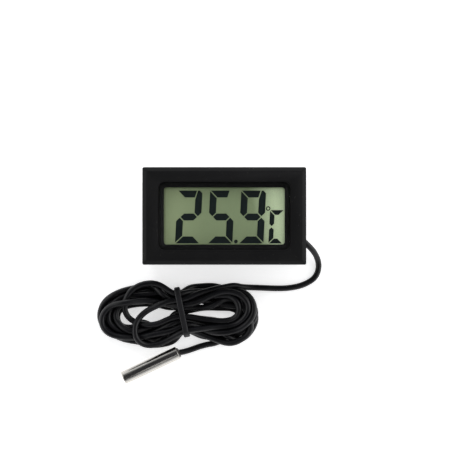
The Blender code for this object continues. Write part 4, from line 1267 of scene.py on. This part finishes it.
def addDisplaySegments():
    s, u = digitSizes, unitSizes
    bars = []
    for left, lit in digitRows:
        shape = (s["width"], s["height"], s["stroke"], s["gap"])
        bars += digitBars(left, s["low"], *shape, lit, s["steep"])
    bars += digitBars(u["left"], s["low"], u["width"], u["height"], u["stroke"], u["gap"], "afed")
    clearSelection()
    bpy.ops.mesh.primitive_cylinder_add(vertices=28, radius=u["pointSize"] / 2, depth=s["thickness"])
    point = bpy.context.object
    point.data.transform(Matrix.Translation((*u["point"], s["thickness"] / 2)))
    bars.append(point)
    clearSelection()
    bpy.ops.mesh.primitive_cylinder_add(vertices=36, radius=u["ring"], depth=s["thickness"])
    ring = bpy.context.object
    selectFaces(ring, lambda middle, normal: abs(normal.z) > 0.9)
    bpy.ops.mesh.inset(thickness=u["ringWall"])
    bpy.ops.mesh.bridge_edge_loops()
    bpy.ops.mesh.select_all(action="SELECT")
    bpy.ops.mesh.normals_make_consistent(inside=False)
    bpy.ops.object.mode_set(mode="OBJECT")
    ring.data.transform(Matrix.Translation((*u["ringMiddle"], s["thickness"] / 2)))
    bars.append(ring)
    clearSelection()
    for bar in bars:
        bar.select_set(True)
    bpy.context.view_layer.objects.active = bars[0]
    bpy.ops.object.join()
    digits = namePiece("display_segments")
    fixPlace(digits)
    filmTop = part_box("front_polariser")[1].z
    for vertex in digits.data.vertices:
        vertex.co.x += (vertex.co.y - s["low"]) * math.tan(s["lean"])
        vertex.co.z += filmTop + 0.02 * mm
    dress(digits, finishes["ink"])
    print("display segments made:", len(bars))
    return digits


# table and light

stageSizes = {
    "floorSize": 3.0,
    "floorColour": (0.93, 0.93, 0.93),
    "floorDrop": 0.05 * mm,
    "floorGlow": 0.60,
    "skyLow": (0.95, 0.96, 0.98),
    "skyHigh": (0.030, 0.030, 0.033),
    "skyTurn": (0.30, 0.75),  # sine of the height where the pale sky starts and stops fading
}

lampRows = [
    # name, place, size, power, shows in polished metal
    ("backBox", (0.05, 0.80, 0.52), 1.0, 5.6, False),
    ("rightBox", (0.80, 0.15, 0.55), 0.9, 3.6, True),
    ("leftBox", (-0.85, 0.05, 0.58), 0.9, 2.2, True),
    ("frontBox", (-0.05, -0.80, 0.60), 0.9, 1.0, False),
    ("kickBox", (0.20, -0.36, 0.66), 0.22, 0.10, True),
]


def addStage():
    clearSelection()
    place = (0, 0, -stageSizes["floorDrop"])
    bpy.ops.mesh.primitive_plane_add(size=stageSizes["floorSize"], location=place)
    floor = namePiece("table")
    fixPlace(floor)
    material, tree, shader = newMaterial("tablePaper")
    grain = placeGroup(tree, grainGroup, Grain_Scale=900.0, Grain_Depth=0.0, Cloud_Scale=8.0)
    tone = rangeNode(tree, grain.outputs["Clouds"], 0.3, 0.7, 0.0, 0.15)
    paper = mixColours(tree, tone, stageSizes["floorColour"], (0.90, 0.90, 0.90))
    wire(tree, paper, shader.inputs["Base Color"])
    shader.inputs["Roughness"].default_value = 0.9
    shader.inputs["Specular IOR Level"].default_value = 0.1
    shader.inputs["Emission Color"].default_value = (1.0, 1.0, 1.0, 1.0)
    shader.inputs["Emission Strength"].default_value = stageSizes["floorGlow"]
    floor.data.materials.append(material)
    world = bpy.data.worlds.new("studio")
    world.use_nodes = True
    sky = world.node_tree
    height = addNode(sky, "ShaderNodeSeparateXYZ")
    wire(sky, addNode(sky, "ShaderNodeTexCoord").outputs["Generated"], height.inputs[0])
    fade = rangeNode(sky, height.outputs["Z"], *stageSizes["skyTurn"], 0.0, 1.0)
    colour = mixColours(sky, fade, stageSizes["skyLow"], stageSizes["skyHigh"])
    wire(sky, colour, sky.nodes["Background"].inputs["Color"])
    bpy.context.scene.world = world
    for name, place, size, power, inMetal in lampRows:
        data = bpy.data.lights.new(name, "AREA")
        data.shape = "SQUARE"
        data.size = size
        data.energy = power
        lamp = bpy.data.objects.new(name, data)
        lamp.location = place
        lamp.visible_glossy = inMetal
        lamp.rotation_euler = (-Vector(place)).to_track_quat("-Z", "Y").to_euler()
        bpy.context.scene.collection.objects.link(lamp)
    bpy.context.scene.view_settings.view_transform = "Standard"
    print("table and lamps placed")


# build

addCamera()
cable, cableLine = addCable()
tie = addTie(cableLine)
probeSleeve = addProbe()
probeFiller = addResin(cableLine)
dressNodes()
addEasedPieces()
addDisplaySegments()
addStage()
